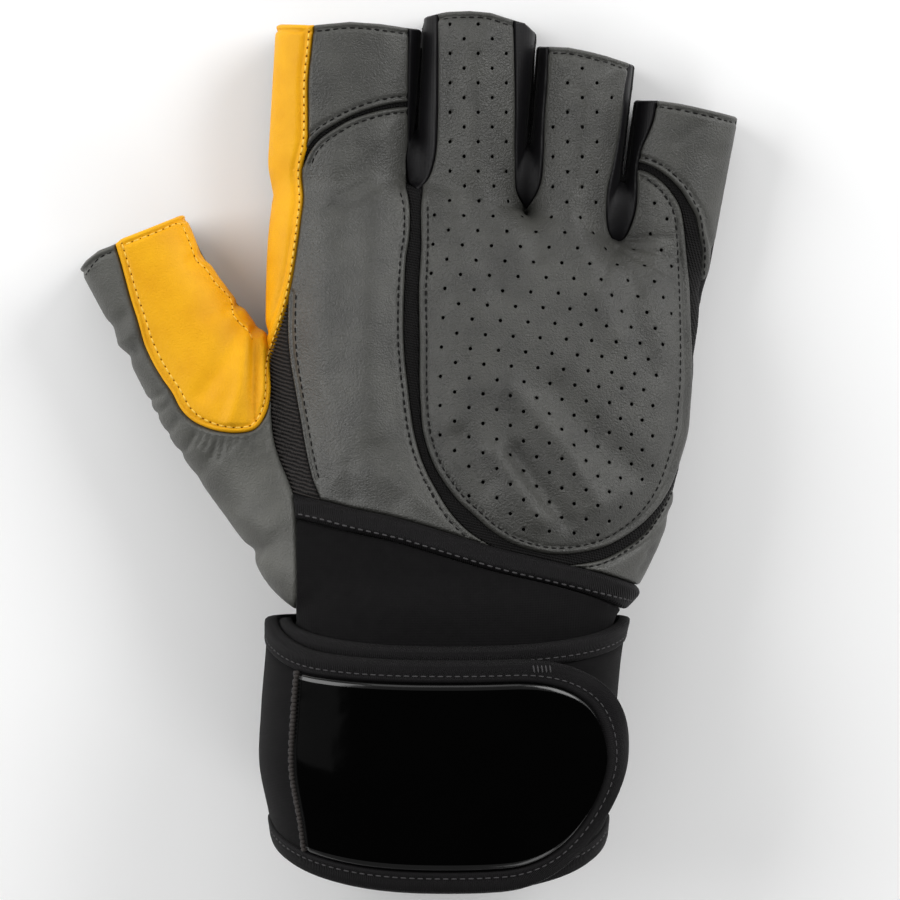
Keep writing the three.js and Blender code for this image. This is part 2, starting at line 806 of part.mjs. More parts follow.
function strapPoint(angle, y, grow) {
  const section = palmSection(y);
  section.y = y;
  const across = new THREE.Vector2(1, 0);
  const point = sectionPoint(section, across, THREE.MathUtils.degToRad(angle), lapBed(angle) + grow, false);
  point.z = Math.max(point.z, Math.max(tape_wall - grow, 0));
  return point;
}

// A spot on the wrap's rim: over its upper edge, round the end and back along its lower edge
const end_turns = 10;
const degrees_per_mm = 180 / (Math.PI * (wrist_breadth / 2 + strap_bed + lap_pitch));
const round_start = strap_end + strap_end_reach * degrees_per_mm;

function rimSpots(inset) {
  const spots = [];
  const columns = steps(strap_start, round_start, strap_step);
  for (const angle of columns) {
    spots.push({ angle, y: strapTop(angle) - inset });
  }
  for (let i = 1; i < end_turns; i += 1) {
    const turn = (Math.PI * i) / end_turns;
    const angle = round_start - (round_start - strap_end - inset * degrees_per_mm) * Math.sin(turn);
    const middle = (strapTop(angle) + strapBottom(angle)) / 2;
    const half = (strapTop(angle) - strapBottom(angle)) / 2 - inset;
    spots.push({ angle, y: middle + half * Math.cos(turn) });
  }
  for (const angle of columns.reverse()) {
    spots.push({ angle, y: strapBottom(angle) + inset });
  }
  return spots;
}

function strapTape() {
  const outer = rimSpots(0);
  const inner = rimSpots(tape_width);
  const rings = outer.map((spot, i) => [
    strapPoint(spot.angle, spot.y, 0),
    strapPoint(spot.angle, spot.y, tape_wall),
    strapPoint(inner[i].angle, inner[i].y, tape_wall),
    strapPoint(inner[i].angle, inner[i].y, 0),
  ]);
  return loft(rings);
}

// A sheet of the wrap from one angle to its round end, between inset edges
const sheet_rows = 3;

function wrapSheet(start, inset, low, high) {
  const rim = rimSpots(inset).filter((spot) => spot.angle <= start);
  const pairs = Math.floor(rim.length / 2);
  const rings = [];
  for (let i = 0; i < pairs; i += 1) {
    const top = rim[i];
    const bottom = rim[rim.length - 1 - i];
    const ring = [];
    for (let row = 0; row <= sheet_rows; row += 1) {
      const y = THREE.MathUtils.lerp(bottom.y, top.y, row / sheet_rows);
      ring.push(strapPoint(top.angle, y, high));
    }
    for (let row = sheet_rows; row >= 0; row -= 1) {
      const y = THREE.MathUtils.lerp(bottom.y, top.y, row / sheet_rows);
      ring.push(strapPoint(top.angle, y, low));
    }
    rings.push(ring);
  }
  return loft(rings);
}

function wristStrap() {
  return wrapSheet(strap_start, tape_width + seam_gap, 0, strap_wall);
}

function strapPatch() {
  const bed = strap_wall + seam_gap;
  return wrapSheet(patch_start, tape_width + 2 * seam_gap, bed, bed + patch_wall);
}

// Finishes
function finish(color, roughness) {
  return new THREE.MeshStandardMaterial({ color, roughness, metalness: 0 });
}
const grey_leather = finish(0x636361, 0.55);
const yellow_leather = finish(0xf5b52e, 0.55);
const black_fabric = finish(0x1c1b1d, 0.85);
const black_knit = finish(0x202022, 0.9);
const neoprene = finish(0x19181a, 0.8);
const ribbed_tape = finish(0x222123, 0.75);
const gloss_black = finish(0x060607, 0.12);

const glove = new THREE.Group();

function addPiece(name, shape, material) {
  const geometry = shape.isBufferGeometry ? shape : toGeometry(shape);
  const mesh = new THREE.Mesh(geometry, material);
  mesh.name = name;
  glove.add(mesh);
}

addPiece("hand_back", handBack(), black_fabric);
addPiece("fourchette_index_middle", fourchette(0), black_fabric);
addPiece("fourchette_middle_ring", fourchette(1), black_fabric);
addPiece("fourchette_ring_little", fourchette(2), black_fabric);
addPiece("index_finger_panel", indexPanel(), grey_leather);
addPiece("thenar_panel", thenarPanel(), grey_leather);
addPiece("palm_pad", palmPad(), grey_leather);
addPiece("mesh_strip", meshStrip(), black_knit);
addPiece("little_finger_panel", littlePanel(), grey_leather);
addPiece("heel_panel", heelPanel(), grey_leather);
addPiece("yellow_patch", yellowPatch(), yellow_leather);
addPiece("thumb_shell", thumbShell(), grey_leather);
addPiece("thumb_webbing", thumbWebbing(), black_knit);
addPiece("cuff", cuffSleeve(), neoprene);
addPiece("cuff_binding", cuffTape(), ribbed_tape);
addPiece("wrist_strap", wristStrap(), neoprene);
addPiece("strap_binding", strapTape(), ribbed_tape);
addPiece("strap_patch", strapPatch(), gloss_black);

// The origin is under the middle of the whole glove, on the surface that it lies on
const box = new THREE.Box3().setFromObject(glove);
const middle = box.getCenter(new THREE.Vector3());
for (const piece of glove.children) {
  piece.position.set(-middle.x, -middle.y, -box.min.z);
}

export default glove;
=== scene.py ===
# Looks of the weightlifting glove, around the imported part.
# Hand coordinates are millimetres: x from the thumb to the little finger, y from the wrist line to
# the fingertips, z up out of the palm. Outlines lie in the view plane, a level plane view_level
# above the floor, as seen from the camera straight above.
import math
import bpy
import numpy as np
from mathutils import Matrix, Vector
from mathutils.bvhtree import BVHTree


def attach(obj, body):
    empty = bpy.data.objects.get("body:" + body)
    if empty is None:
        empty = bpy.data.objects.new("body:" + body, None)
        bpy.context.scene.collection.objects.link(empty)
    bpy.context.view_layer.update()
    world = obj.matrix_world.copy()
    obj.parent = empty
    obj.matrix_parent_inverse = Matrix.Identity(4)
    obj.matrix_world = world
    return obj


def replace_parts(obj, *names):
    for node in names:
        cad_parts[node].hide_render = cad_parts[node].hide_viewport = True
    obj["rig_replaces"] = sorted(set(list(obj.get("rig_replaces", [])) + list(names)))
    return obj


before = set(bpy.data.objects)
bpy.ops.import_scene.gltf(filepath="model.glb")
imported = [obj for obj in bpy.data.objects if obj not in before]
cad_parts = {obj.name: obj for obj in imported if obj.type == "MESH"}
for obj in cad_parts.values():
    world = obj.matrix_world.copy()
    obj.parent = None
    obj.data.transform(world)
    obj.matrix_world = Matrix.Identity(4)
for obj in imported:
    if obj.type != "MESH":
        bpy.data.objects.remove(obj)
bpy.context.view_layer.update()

# Where the frame's origin lies in hand coordinates
origin_x = -17.36
origin_y = 45.47
origin = np.array([origin_x, origin_y, 0.0])
millimetre = 0.001


def table(names, *rows):
    """Rows of numbers as records with the given names."""
    return [dict(zip(names.split(), row)) for row in rows]


# Camera
camera_x = -7.89
camera_y = 44.3
camera_height = 1100.0
view_level = 20.0
view_width = 208.8

# Fingers: clear breadth and depth at the hem, length from the crotches, breadth at the crotches as a
# share, and the turn of the hem in degrees
fingers = table(
    "breadth depth length base hem",
    (30.7, 18.0, 33.0, 0.977, 1.0),
    (23.6, 18.5, 43.5, 0.966, -6.0),
    (19.8, 17.5, 40.5, 0.927, -11.0),
    (21.0, 16.0, 35.0, 0.92, -11.0),
)
between = 3.0
knuckle_slope = 16.0
knuckle_middle = 0.015
hems_middle = 0.057
palm_length = 100.0
palm_depth = 34.0
wrist_breadth = 67.0
wrist_depth = 40.0
wrist_shift = 8.0
thumb_breadth = 23.4
thumb_depth = 20.0
thumb_reach = 51.0
thumb_rise = 79.0
thumb_root_across = -0.31
thumb_root_along = 0.13
roundness = 2.4
past_hem = 6.0
foot_along = -0.8
foot_narrowing = 0.55
foot_sinking = 0.4

# Walls, and how high each layer stands
back_wall = 1.8
leather_wall = 2.0
gusset_wall = 1.3
mesh_wall = 1.0
cuff_wall = 2.5
cuff_tape_wall = 3.4
pad_puff = 2.6
thenar_puff = 1.6
seam_height = 11.0
yellow_seam_height = 10.0
yellow_wall = 2.3
inner_gap = 0.15
rim_share = 0.3
puff_from = 0.8
puff_full = 9.0

# Wrist wrap
strap_rise = 6.0
strap_height = 50.5
strap_wall = 2.6
tape_wall = 3.1
tape_width = 5.0
tape_under = 0.3
strap_end_reach = 44.0
end_power = 1.75
end_power_inside = 1.1
end_degrees = 4.4
end_lift = 6.5
end_lift_from = -312.0
strap_dip = 6.0
strap_low_dip = 11.0
strap_start = 178.0
strap_end = -348.0
second_lap = -175.0
lap_turn = -95.0
lap_pitch = 3.4
lap_settled = -230.0
lap_step = 2.0
strap_bed = 3.1
cuff_length = 45.0
patch_wall = 0.8
patch_ripple = 0.12
sheet_round = 0.5
patch_rows = 60
rim_rows = 2
patch_start = -222.0
patch_gap = 0.2
patch_sunk = 0.3
under_tape = 0.6
stitch_place = 0.7
wrist_lift = 6.2
lap_shift = 3.0

# The tape's height at shares of its width, from the rim inwards
tape_profile = [
    (0.0, 0.55), (0.04, 0.8), (0.12, 0.96), (0.25, 1.0), (0.4, 1.0), (0.55, 1.0), (0.7, 0.93),
    (0.82, 1.0), (0.92, 0.97), (1.0, 0.84),
]

palm_breadth = sum(f["breadth"] * f["base"] + between for f in fingers) - between
hems_breadth = sum(f["breadth"] + between for f in fingers) - between

hand_sections = table(
    "along middle breadth top lift tilt",
    (0.07, -0.066, 0.695, 1.18, 1.0, 0.0),
    (0.14, -0.051, 0.785, 1.12, 0.75, 0.0),
    (0.29, -0.028, 0.88, 1.08, 0.35, 0.0),
    (0.49, -0.013, 0.945, 1.02, 0.0, 0.0),
    (0.69, -0.005, 0.97, 0.92, 0.0, 0.3),
    (0.87, 0.008, 0.995, 0.77, 0.0, 0.65),
    (1.0, 0.015, 0.98, 0.6, 0.0, 1.0),
)
wrist_sections = table(
    "along middle breadth top",
    (1.1, 1.05, 0.89, 0.98),
    (0.8, 1.1, 0.94, 1.02),
    (0.55, 1.15, 1.0, 1.04),
    (0.3, 1.1, 1.0, 1.03),
)
thumb_sections = table(
    "out up breadth depth turn lift",
    (-0.16, -0.12, 1.0, 1.3, 0.0, 2.2),
    (0.0, 0.0, 1.4, 1.5, 0.0, 0.9),
    (0.113, 0.155, 1.48, 1.4, 5.0, 0.4),
    (0.32, 0.34, 1.4, 1.25, 13.0, 0.0),
    (0.547, 0.534, 1.27, 1.15, 20.0, 0.0),
    (0.72, 0.7, 1.12, 1.06, 23.0, 0.0),
    (0.883, 0.859, 1.0, 1.02, 26.0, 0.0),
    (1.0, 1.0, 1.0, 1.0, 28.0, 0.0),
)
seam_rows = table(
    "along height",
    (-1.0, 2.2),
    (0.0, 1.95),
    (0.3, 1.6),
    (0.62, 1.45),
    (0.74, 1.0),
    (2.5, 1.0),
)

# Outlines in the view plane, each point (x, y)
finger_hems = [
    (-60.0, 143.2), (-46.2, 143.0), (-39.2, 142.8), (-31.1, 143.6), (-24.1, 143.1), (-18.3, 142.2),
    (-16.0, 142.0), (-14.4, 141.0), (-14.2, 143.4), (-12.5, 144.8), (-10.0, 145.5), (-7.9, 145.9),
    (-3.3, 146.1), (1.4, 145.7), (6.3, 144.1), (8.8, 143.4), (10.7, 141.3), (12.2, 138.2),
    (12.8, 137.8), (15.8, 137.8), (19.9, 137.6), (24.6, 136.6), (28.1, 135.7), (32.7, 134.1),
    (34.4, 133.2), (35.3, 131.0), (35.2, 125.4), (37.3, 125.3), (40.6, 125.3), (45.5, 124.6),
    (50.1, 123.6), (54.7, 122.5), (59.8, 121.1), (70.0, 118.4),
]
thumb_hem = [
    (-101.0, 77.0), (-93.7, 85.6), (-91.4, 88.8), (-89.1, 90.7), (-85.4, 92.1), (-84.0, 93.3),
    (-77.5, 95.8), (-71.0, 98.4), (-69.6, 98.0), (-66.5, 92.0), (-60.0, 96.0),
]
yellow_sewn = [
    (-39.2, 150.0), (-39.2, 142.7), (-39.7, 137.1), (-40.4, 130.1), (-40.6, 116.2), (-41.8, 109.3),
    (-41.5, 102.3), (-42.0, 97.7), (-42.7, 91.9), (-44.3, 81.4), (-46.4, 73.3), (-48.7, 66.3),
    (-49.4, 63.0), (-49.4, 58.2), (-49.9, 54.7), (-50.8, 52.0), (-53.1, 49.0), (-56.6, 48.2),
    (-61.3, 48.7), (-64.7, 49.9), (-67.1, 51.3), (-69.4, 53.6), (-71.7, 57.8), (-74.0, 61.2),
    (-76.3, 65.2), (-78.2, 69.4), (-79.8, 74.5), (-81.4, 79.1), (-84.0, 87.9), (-85.3, 92.0), (-87.0, 99.0),
]
yellow_free = [
    (-70.0, 96.4), (-68.8, 93.6), (-67.4, 89.8), (-66.4, 87.8), (-64.6, 86.4), (-62.2, 82.8),
    (-59.2, 79.9), (-58.5, 78.0), (-58.1, 75.4), (-55.8, 73.0), (-54.4, 71.4), (-53.8, 69.9),
]
thumb_edge = [
    (-49.4, 60.0), (-49.4, 55.9), (-49.0, 48.9), (-48.3, 45.5), (-47.1, 42.0), (-45.0, 37.3),
    (-43.4, 32.7), (-42.9, 28.1), (-42.5, 16.5), (-42.0, 9.5), (-41.5, 4.9),
]
web_edge = [
    (-44.2, 84.0), (-44.6, 80.7), (-44.8, 72.1), (-44.3, 65.2), (-43.2, 58.2), (-42.0, 51.3),
    (-40.8, 44.3), (-39.2, 37.3), (-37.6, 33.2), (-35.7, 28.0),
]
index_arc = [
    (-44.0, 107.0), (-41.5, 112.5), (-40.6, 114.4), (-38.1, 117.4), (-34.6, 119.7), (-31.1, 121.6),
    (-26.5, 123.4), (-21.8, 124.6), (-18.6, 125.0), (-14.0, 125.0),
]
thenar_arc = [
    (-43.4, 105.4), (-41.2, 111.0), (-40.2, 113.4), (-37.9, 116.4), (-34.6, 118.8), (-31.1, 120.8),
    (-26.5, 122.5), (-21.8, 123.6), (-18.4, 124.0), (-16.0, 124.0),
]
thenar_edge = [
    (-17.0, 112.0), (-18.3, 109.0), (-18.3, 104.6), (-17.6, 102.3), (-17.2, 98.8), (-17.4, 93.0),
    (-18.1, 88.4), (-18.6, 76.8), (-18.6, 69.8), (-18.1, 62.9), (-17.4, 57.1), (-16.7, 51.3),
    (-15.8, 46.6), (-14.6, 42.4), (-13.0, 38.5), (-11.1, 35.0), (-9.1, 31.5), (-6.7, 28.3),
    (-3.3, 25.0), (1.4, 22.0), (6.0, 19.7), (12.0, 17.5),
]
pad_edge = [
    (-13.9, 104.6), (-14.6, 101.1), (-14.6, 90.7), (-15.1, 81.4), (-14.9, 69.8), (-14.9, 60.5),
    (-14.6, 53.6), (-14.2, 48.9), (-13.0, 44.3), (-11.1, 39.7), (-8.6, 35.7), (-5.6, 32.0),
    (-2.1, 28.8), (1.4, 25.7), (6.0, 22.7), (10.7, 20.9), (16.5, 19.9), (22.3, 20.4),
    (28.1, 22.0), (32.7, 24.6), (36.2, 27.4), (39.7, 31.5), (42.0, 35.5), (43.6, 39.7),
    (45.0, 44.3), (46.2, 48.9), (46.6, 53.6), (47.1, 60.5), (47.1, 74.5), (46.6, 88.4),
    (46.2, 95.3), (45.5, 100.0), (43.8, 103.5), (41.3, 106.5), (38.5, 108.6), (36.4, 109.3),
]
little_edge = [
    (35.0, 110.9), (36.6, 110.9), (39.7, 109.7), (42.7, 107.6), (45.5, 104.6), (47.3, 101.6),
    (48.9, 98.1), (49.4, 94.2), (49.9, 90.7), (49.6, 83.7), (49.4, 74.0), (52.0, 68.0),
]
heel_edge = [
    (17.0, 17.2), (21.1, 17.6), (26.9, 18.8), (31.5, 21.1), (36.2, 24.6), (39.7, 29.2),
    (42.7, 35.0), (44.3, 39.7), (45.6, 45.5), (45.9, 49.0),
]
heel_side = [(46.0, 47.0), (42.7, 32.7), (39.7, 23.4), (36.2, 16.0), (34.3, 11.8)]
gusset_edges = [
    [
        (-18.3, 148.0), (-18.3, 142.2), (-18.6, 125.5), (-18.6, 113.9), (-18.3, 109.3), (-17.6, 106.9),
        (-16.5, 104.8), (-15.3, 104.0), (-13.9, 104.8), (-12.3, 106.9), (-11.1, 110.4), (-10.5, 113.9),
        (-10.2, 120.9), (-10.0, 134.8), (-10.0, 145.5), (-10.0, 152.0),
    ],
    [
        (6.3, 150.0), (6.3, 144.3), (6.5, 125.5), (6.3, 113.9), (6.5, 106.9), (6.9, 104.2),
        (8.3, 102.1), (10.4, 100.6), (12.5, 103.0), (13.7, 105.8), (14.4, 111.6), (14.8, 120.9),
        (15.5, 130.1), (15.8, 137.6), (16.4, 146.0),
    ],
    [
        (34.0, 141.0), (32.7, 134.1), (31.5, 127.8), (31.1, 123.2), (30.1, 116.2), (29.0, 110.4),
        (27.8, 104.6), (27.6, 100.0), (28.1, 95.3), (29.2, 93.0), (31.2, 91.8), (32.9, 93.0),
        (34.6, 96.5), (35.7, 100.0), (36.2, 104.6), (36.4, 109.3), (37.3, 113.9), (38.7, 117.4),
        (39.9, 120.9), (40.6, 125.3), (41.4, 131.0),
    ],
]
tape_top = [
    (-70.0, 41.0), (-43.4, 33.9), (-38.1, 32.7), (-31.1, 30.8), (-19.5, 28.1), (-7.9, 24.6),
    (3.7, 21.1), (15.3, 18.3), (26.9, 15.5), (34.3, 13.7), (60.0, 7.4),
]
tape_drop = 5.6
tape_stitch = 4.4

# Folds and dents: line from (x, y) to (x, y), half width, and depth, negative where the skin stands up
folds = table(
    "line width depth",
    ([(-82.0, 76.0), (-86.0, 72.5)], 1.8, 0.6),
    ([(-79.0, 68.0), (-82.5, 65.5)], 1.6, 0.8),
    ([(-80.5, 71.5), (-84.5, 68.5)], 1.2, -0.4),
    ([(-73.0, 58.0), (-76.5, 56.3)], 0.8, 0.5),
    ([(-71.5, 55.5), (-74.5, 53.2)], 0.7, 0.5),
    ([(-69.5, 52.0), (-71.5, 49.4)], 0.9, 0.45),
    ([(-66.5, 48.5), (-69.0, 44.5)], 1.1, 0.5),
    ([(-61.5, 45.0), (-64.0, 40.0)], 1.7, 0.5),
    ([(-56.5, 22.5), (-50.5, 21.0)], 1.5, 1.1),
    ([(-54.0, 29.0), (-49.0, 26.0)], 2.2, -0.5),
    ([(-54.8, 71.2), (-53.7, 60.5), (-53.3, 51.5)], 0.9, 1.3),
    ([(-53.2, 69.5), (-51.8, 58.5), (-51.9, 52.0)], 1.1, -0.5),
    ([(-56.2, 69.0), (-56.6, 58.5), (-58.5, 51.0)], 1.7, -0.9),
    ([(-57.5, 72.5), (-60.5, 65.0), (-64.5, 57.5)], 2.2, 0.8),
    ([(-59.5, 80.0), (-64.0, 75.5)], 2.4, 0.5),
    ([(-66.5, 89.0), (-69.0, 87.5)], 1.5, 0.6),
    ([(-58.2, 77.0), (-60.5, 76.0)], 1.3, 0.7),
    ([(-35.5, 99.0), (-26.0, 103.5)], 1.5, 0.55),
    ([(-33.0, 102.5), (-27.5, 105.5)], 0.9, 0.4),
    ([(-29.0, 113.0), (-32.5, 92.0)], 3.8, 1.0),
    ([(-25.0, 88.0), (-27.5, 50.0)], 5.0, -0.9),
    ([(-24.0, 44.0), (-19.5, 33.0)], 2.5, 0.7),
    ([(-31.0, 40.0), (-30.0, 33.0)], 2.0, 0.5),
    ([(-6.0, 104.0), (-1.0, 92.0), (4.0, 80.0)], 3.4, 0.9),
    ([(-5.5, 46.5), (0.5, 36.0)], 2.8, 1.5),
    ([(2.0, 43.0), (12.5, 27.0)], 2.4, -1.3),
    ([(7.0, 43.0), (18.5, 27.5)], 2.3, 1.9),
    ([(6.0, 58.0), (17.0, 45.0), (25.0, 31.5)], 2.8, -1.4),
    ([(16.0, 58.0), (25.0, 47.0), (34.0, 38.0)], 3.6, 1.1),
    ([(31.5, 91.0), (42.0, 88.5)], 0.7, 0.6),
    ([(31.0, 90.0), (40.0, 84.0)], 0.8, 0.5),
    ([(30.5, 89.5), (35.0, 79.0)], 0.9, 0.5),
    ([(32.5, 92.5), (43.0, 93.5)], 0.6, 0.5),
    ([(29.5, 90.0), (26.5, 82.0)], 1.4, 0.6),
    ([(10.5, 99.5), (12.0, 88.0)], 2.2, 1.0),
    ([(19.0, 101.0), (24.0, 84.0), (30.0, 70.0)], 3.6, -1.0),
    ([(38.0, 92.0), (33.0, 78.0), (37.0, 62.0)], 3.4, 0.9),
    ([(-9.0, 78.0), (-4.0, 64.0)], 3.8, 0.8),
    ([(45.0, 115.5), (49.5, 119.5)], 1.2, 0.4),
    ([(52.0, 112.0), (50.5, 98.0)], 3.0, 0.5),
    ([(37.5, 21.0), (34.5, 17.0)], 0.6, 0.4),
    ([(39.5, 25.0), (36.5, 21.0)], 0.6, 0.4),
)
gather_from = (-66.0, 48.5)
gather_to = (-50.5, 50.0)
gather_count = 11
gather_length = 5.5
gather_depth = 0.55
gather_width = 0.5
gather_bow = 1.2
gather_turn = -118.0
gather_fan = 50.0

# Perforations: pitch of the columns and of the holes in a column, and the size of a hole
hole_pitch = 3.41
middle_pitch = 3.27
middle_columns = 5
fingers_low = 108.5
hole_radius = 0.42
hole_sides = 10
hole_depth = 7.0
hole_above = 0.6
hole_columns = 18
hole_rows = 42
hole_left = -7.9
hole_top = 143.1
hole_margin = 1.0
hole_shift = 2.3
hole_spread = 0.03
hole_spread_length = 53.0
hole_tilt = -0.075
hole_tilt_from = 123.0
hole_tilt_length = 78.0
pad_margin = 2.5

# Stitches
stitch_pitch = 1.9
stitch_length = 1.25
stitch_share = stitch_length / stitch_pitch
thread_radius = 0.22
strap_thread_radius = 0.16
seam_thread_radius = 0.18
thread_sides = 6
# needle_share, needle_radius and needle_depth size the dark marks painted as shade in the needle holes
needle_share = 0.22
needle_radius = 0.24
needle_depth = 0.12
thread_bulge = 0.25
thread_rings = [(-0.5, 0.35), (-0.42, 0.8), (-0.2, 1.0), (0.2, 1.0), (0.42, 0.8), (0.5, 0.35)]
hem_inset = 1.4
seam_inset = 1.3
narrow_inset = 1.0
pad_inset = 1.6
yellow_inset = 1.5
channel_width = 0.5
channel_depth = 0.55

tack_count = 5
tack_from = 11.4
tack_pitch = 0.95
tack_high = -5.6
tack_low = -7.4
tack_lean = 0.3

# Corded seam in front of the patch, in degrees from the patch, and its rows of stitches
cord_place = 2.2
cord_pitch = 0.9
cord_radius = 0.8
seam_sides = (4.4, 0.5)

# Soft passages between the palm, the fingers and the ball of the thumb
relax_rounds = 14
knuckle_blend = 9.0
knuckle_drop = 2.0
palm_side_from = 12.0
palm_side_full = 16.0
ball_line = [(-41.0, 22.0), (-49.0, 66.0)]
ball_blend = 5.0
crotches = [(-15.3, 108.0), (9.9, 105.0), (30.8, 97.0)]
crotch_blend = 6.0
webs = [(-15.0, 110.5), (10.3, 107.0), (31.6, 98.5)]
web_size = (5.0, 8.0, 6.0)
web_level = 9.5
web_turn = 75.0
blend_rounds = 40

# Webbing and fine meshes
rib_pitch = 0.93
rib_slant = math.atan(0.3)
rib_height = 0.5
fine_voxel = 0.75
coarse_voxel = 1.5


# Numbers

def smooth_step(value, low, high):
    share = np.clip((value - low) / (high - low), 0.0, 1.0)
    return share * share * (3 - 2 * share)


def unit(vectors):
    """Each row at length one."""
    return vectors / np.maximum(np.linalg.norm(vectors, axis=1, keepdims=True), 1e-9)


def smooth_row(rows, key, value):
    """A smooth row between the rows of a table, ordered by a key."""
    ordered = sorted(rows, key=lambda row: row[key])
    last = 1
    while last < len(ordered) - 1 and ordered[last][key] < value:
        last += 1
    before = ordered[last - 1]
    after = ordered[last]
    earlier = ordered[max(last - 2, 0)]
    later = ordered[min(last + 1, len(ordered) - 1)]
    span = after[key] - before[key]
    s = min(max((value - before[key]) / span, 0.0), 1.0)
    row = {}
    for name in before:
        slope_in = (after[name] - earlier[name]) / (after[key] - earlier[key])
        slope_out = (later[name] - before[name]) / (later[key] - before[key])
        row[name] = before[name] + (after[name] - before[name]) * s * s * (3 - 2 * s)
        row[name] += slope_in * span * s * (1 - s) ** 2 - slope_out * span * s * s * (1 - s)
    return row


def smooth_line(points, step=0.8):
    """A smooth curve through points, in even steps."""
    p = np.array(points, float)
    p = np.vstack([2 * p[0] - p[1], p, 2 * p[-1] - p[-2]])
    line = []
    for i in range(1, len(p) - 2):
        near = p[i - 1:i + 3]
        gaps = np.maximum(np.linalg.norm(np.diff(near, axis=0), axis=1), 1e-6)
        knots = np.concatenate([[0.0], np.cumsum(gaps ** 0.5)])
        for t in np.linspace(knots[1], knots[2], max(int(gaps[1] / step), 1), endpoint=False):
            level = near
            for depth in (1, 2, 3):
                low = knots[:4 - depth] if depth < 3 else knots[1:2]
                high = knots[depth:] if depth < 3 else knots[2:3]
                share = ((t - low) / (high - low))[:, None]
                level = level[:-1] * (1 - share) + level[1:] * share
            line.append(level[0])
    line.append(p[-2])
    return np.array(line)


def line_distance(points, line):
    nearest = np.full(len(points), 1e9)
    for start, end in zip(line[:-1], line[1:]):
        edge = end - start
        away = points - start
        share = np.clip((away @ edge) / max(edge @ edge, 1e-9), 0.0, 1.0)
        gap = away - share[:, None] * edge
        nearest = np.minimum(nearest, np.einsum("ij,ij->i", gap, gap))
    return np.sqrt(nearest)


def signed_inside(points, polygon):
    """Distance to the edge of a polygon, positive inside it."""
    loop = np.vstack([polygon, polygon[:1]])
    x, y = points.T
    inside = np.zeros(len(points), bool)
    for start, end in zip(loop[:-1], loop[1:]):
        if start[1] != end[1]:
            at = start[0] + (y - start[1]) * (end[0] - start[0]) / (end[1] - start[1])
            inside ^= ((start[1] > y) != (end[1] > y)) & (x < at)
    return line_distance(points, loop) * np.where(inside, 1.0, -1.0)


def in_view(points):
    """Hand coordinates to the view plane."""
    scale = (camera_height - view_level) / (camera_height - points[:, 2:])
    eye = np.array([camera_x, camera_y])
    return eye + (points[:, :2] - eye) * scale


# Tubes of the hand

def section_ring(section, sides, turn=0.0, grow=0.0):
    angle = np.linspace(0, 2 * math.pi, sides, endpoint=False)
    wide = np.sign(np.cos(angle)) * np.abs(np.cos(angle)) ** (2 / roundness)
    high = np.sign(np.sin(angle)) * np.abs(np.sin(angle)) ** (2 / roundness)
    side = section["breadth"] / 2 + grow
    tall = (section["top"] - section["floor"]) / 2 + grow
    x = section["x"] + math.cos(turn) * wide * side
    y = section["y"] + math.sin(turn) * wide * side
    z = (section["top"] + section["floor"]) / 2 + high * tall
    return np.stack([x, y, z], axis=1)


def palm_rows():
    rows = []
    for row in wrist_sections:
        rows.append({
            "y": -row["along"] * strap_height,
            "x": -row["middle"] * wrist_shift,
            "breadth": row["breadth"] * wrist_breadth,
            "top": row["top"] * wrist_depth + wrist_lift,
            "floor": wrist_lift,
            "turn": 0.0,
        })
    for row in hand_sections:
        rows.append({
            "y": row["along"] * palm_length,
            "x": row["middle"] * palm_breadth,
            "breadth": row["breadth"] * palm_breadth,
            "top": row["top"] * palm_depth + row["lift"] * wrist_lift,
            "floor": back_wall + row["lift"] * (wrist_lift - back_wall),
            "turn": math.radians(-row["tilt"] * knuckle_slope),
        })
    return rows


palm_table = palm_rows()


def palm_section(y):
    section = smooth_row(palm_table, "y", y)
    section["y"] = y
    return section


def palm_tube():
    rings = []
    for y in np.arange(-cuff_length - past_hem, palm_length + 0.1, 2.0):
        section = palm_section(float(y))
        rings.append(section_ring(section, 96, section["turn"]))
    return rings


def finger_line(number):
    finger = fingers[number]
    base = knuckle_middle * palm_breadth - palm_breadth / 2
    tip = hems_middle * palm_breadth - hems_breadth / 2
    for earlier in fingers[:number]:
        base += earlier["breadth"] * earlier["base"] + between
        tip += earlier["breadth"] + between
    base += finger["breadth"] * finger["base"] / 2
    tip += finger["breadth"] / 2
    start = knuckle_line(base)
    return np.array([base, start]), np.array([tip, start + finger["length"]])


def finger_tube(number):
    finger = fingers[number]
    start, end = finger_line(number)
    lean = math.atan2(start[0] - end[0], end[1] - start[1])
    rings = []
    for along in np.linspace(foot_along, 1 + past_hem / finger["length"], 40):
        clamped = min(max(along, 0.0), 1.0)
        below = min(along, 0.0)
        middle = start + (end - start) * along
        spread = finger["base"] + (1 - finger["base"]) * clamped
        section = {
            "x": middle[0],
            "y": middle[1],
            "breadth": finger["breadth"] * spread * (1 + foot_narrowing * below),
            "top": back_wall + finger["depth"] * (1 + foot_sinking * below),
            "floor": back_wall,
        }
        turn = lean + (math.radians(finger["hem"]) - lean) * clamped
        rings.append(section_ring(section, 64, turn))
    return rings


def thumb_tube():
    root_x = thumb_root_across * palm_breadth
    root_y = thumb_root_along * palm_length
    rows = []
    for row in thumb_sections:
        rows.append({
            "x": root_x - row["out"] * thumb_reach,
            "y": root_y + row["up"] * thumb_rise,
            "breadth": row["breadth"] * thumb_breadth,
            "top": back_wall + row["depth"] * thumb_depth + row["lift"] * wrist_lift,
            "floor": back_wall + row["lift"] * (wrist_lift - back_wall),
            "turn": math.radians(row["turn"]),
        })
    rings = []
    for y in np.linspace(rows[0]["y"], rows[-1]["y"], 50):
        section = smooth_row(rows, "y", float(y))
        section["y"] = float(y)
        rings.append(section_ring(section, 72, section["turn"]))
    turn = rows[-1]["turn"]
    rings.append(rings[-1] + np.array([-math.sin(turn), math.cos(turn), 0.0]) * past_hem)
    return rings


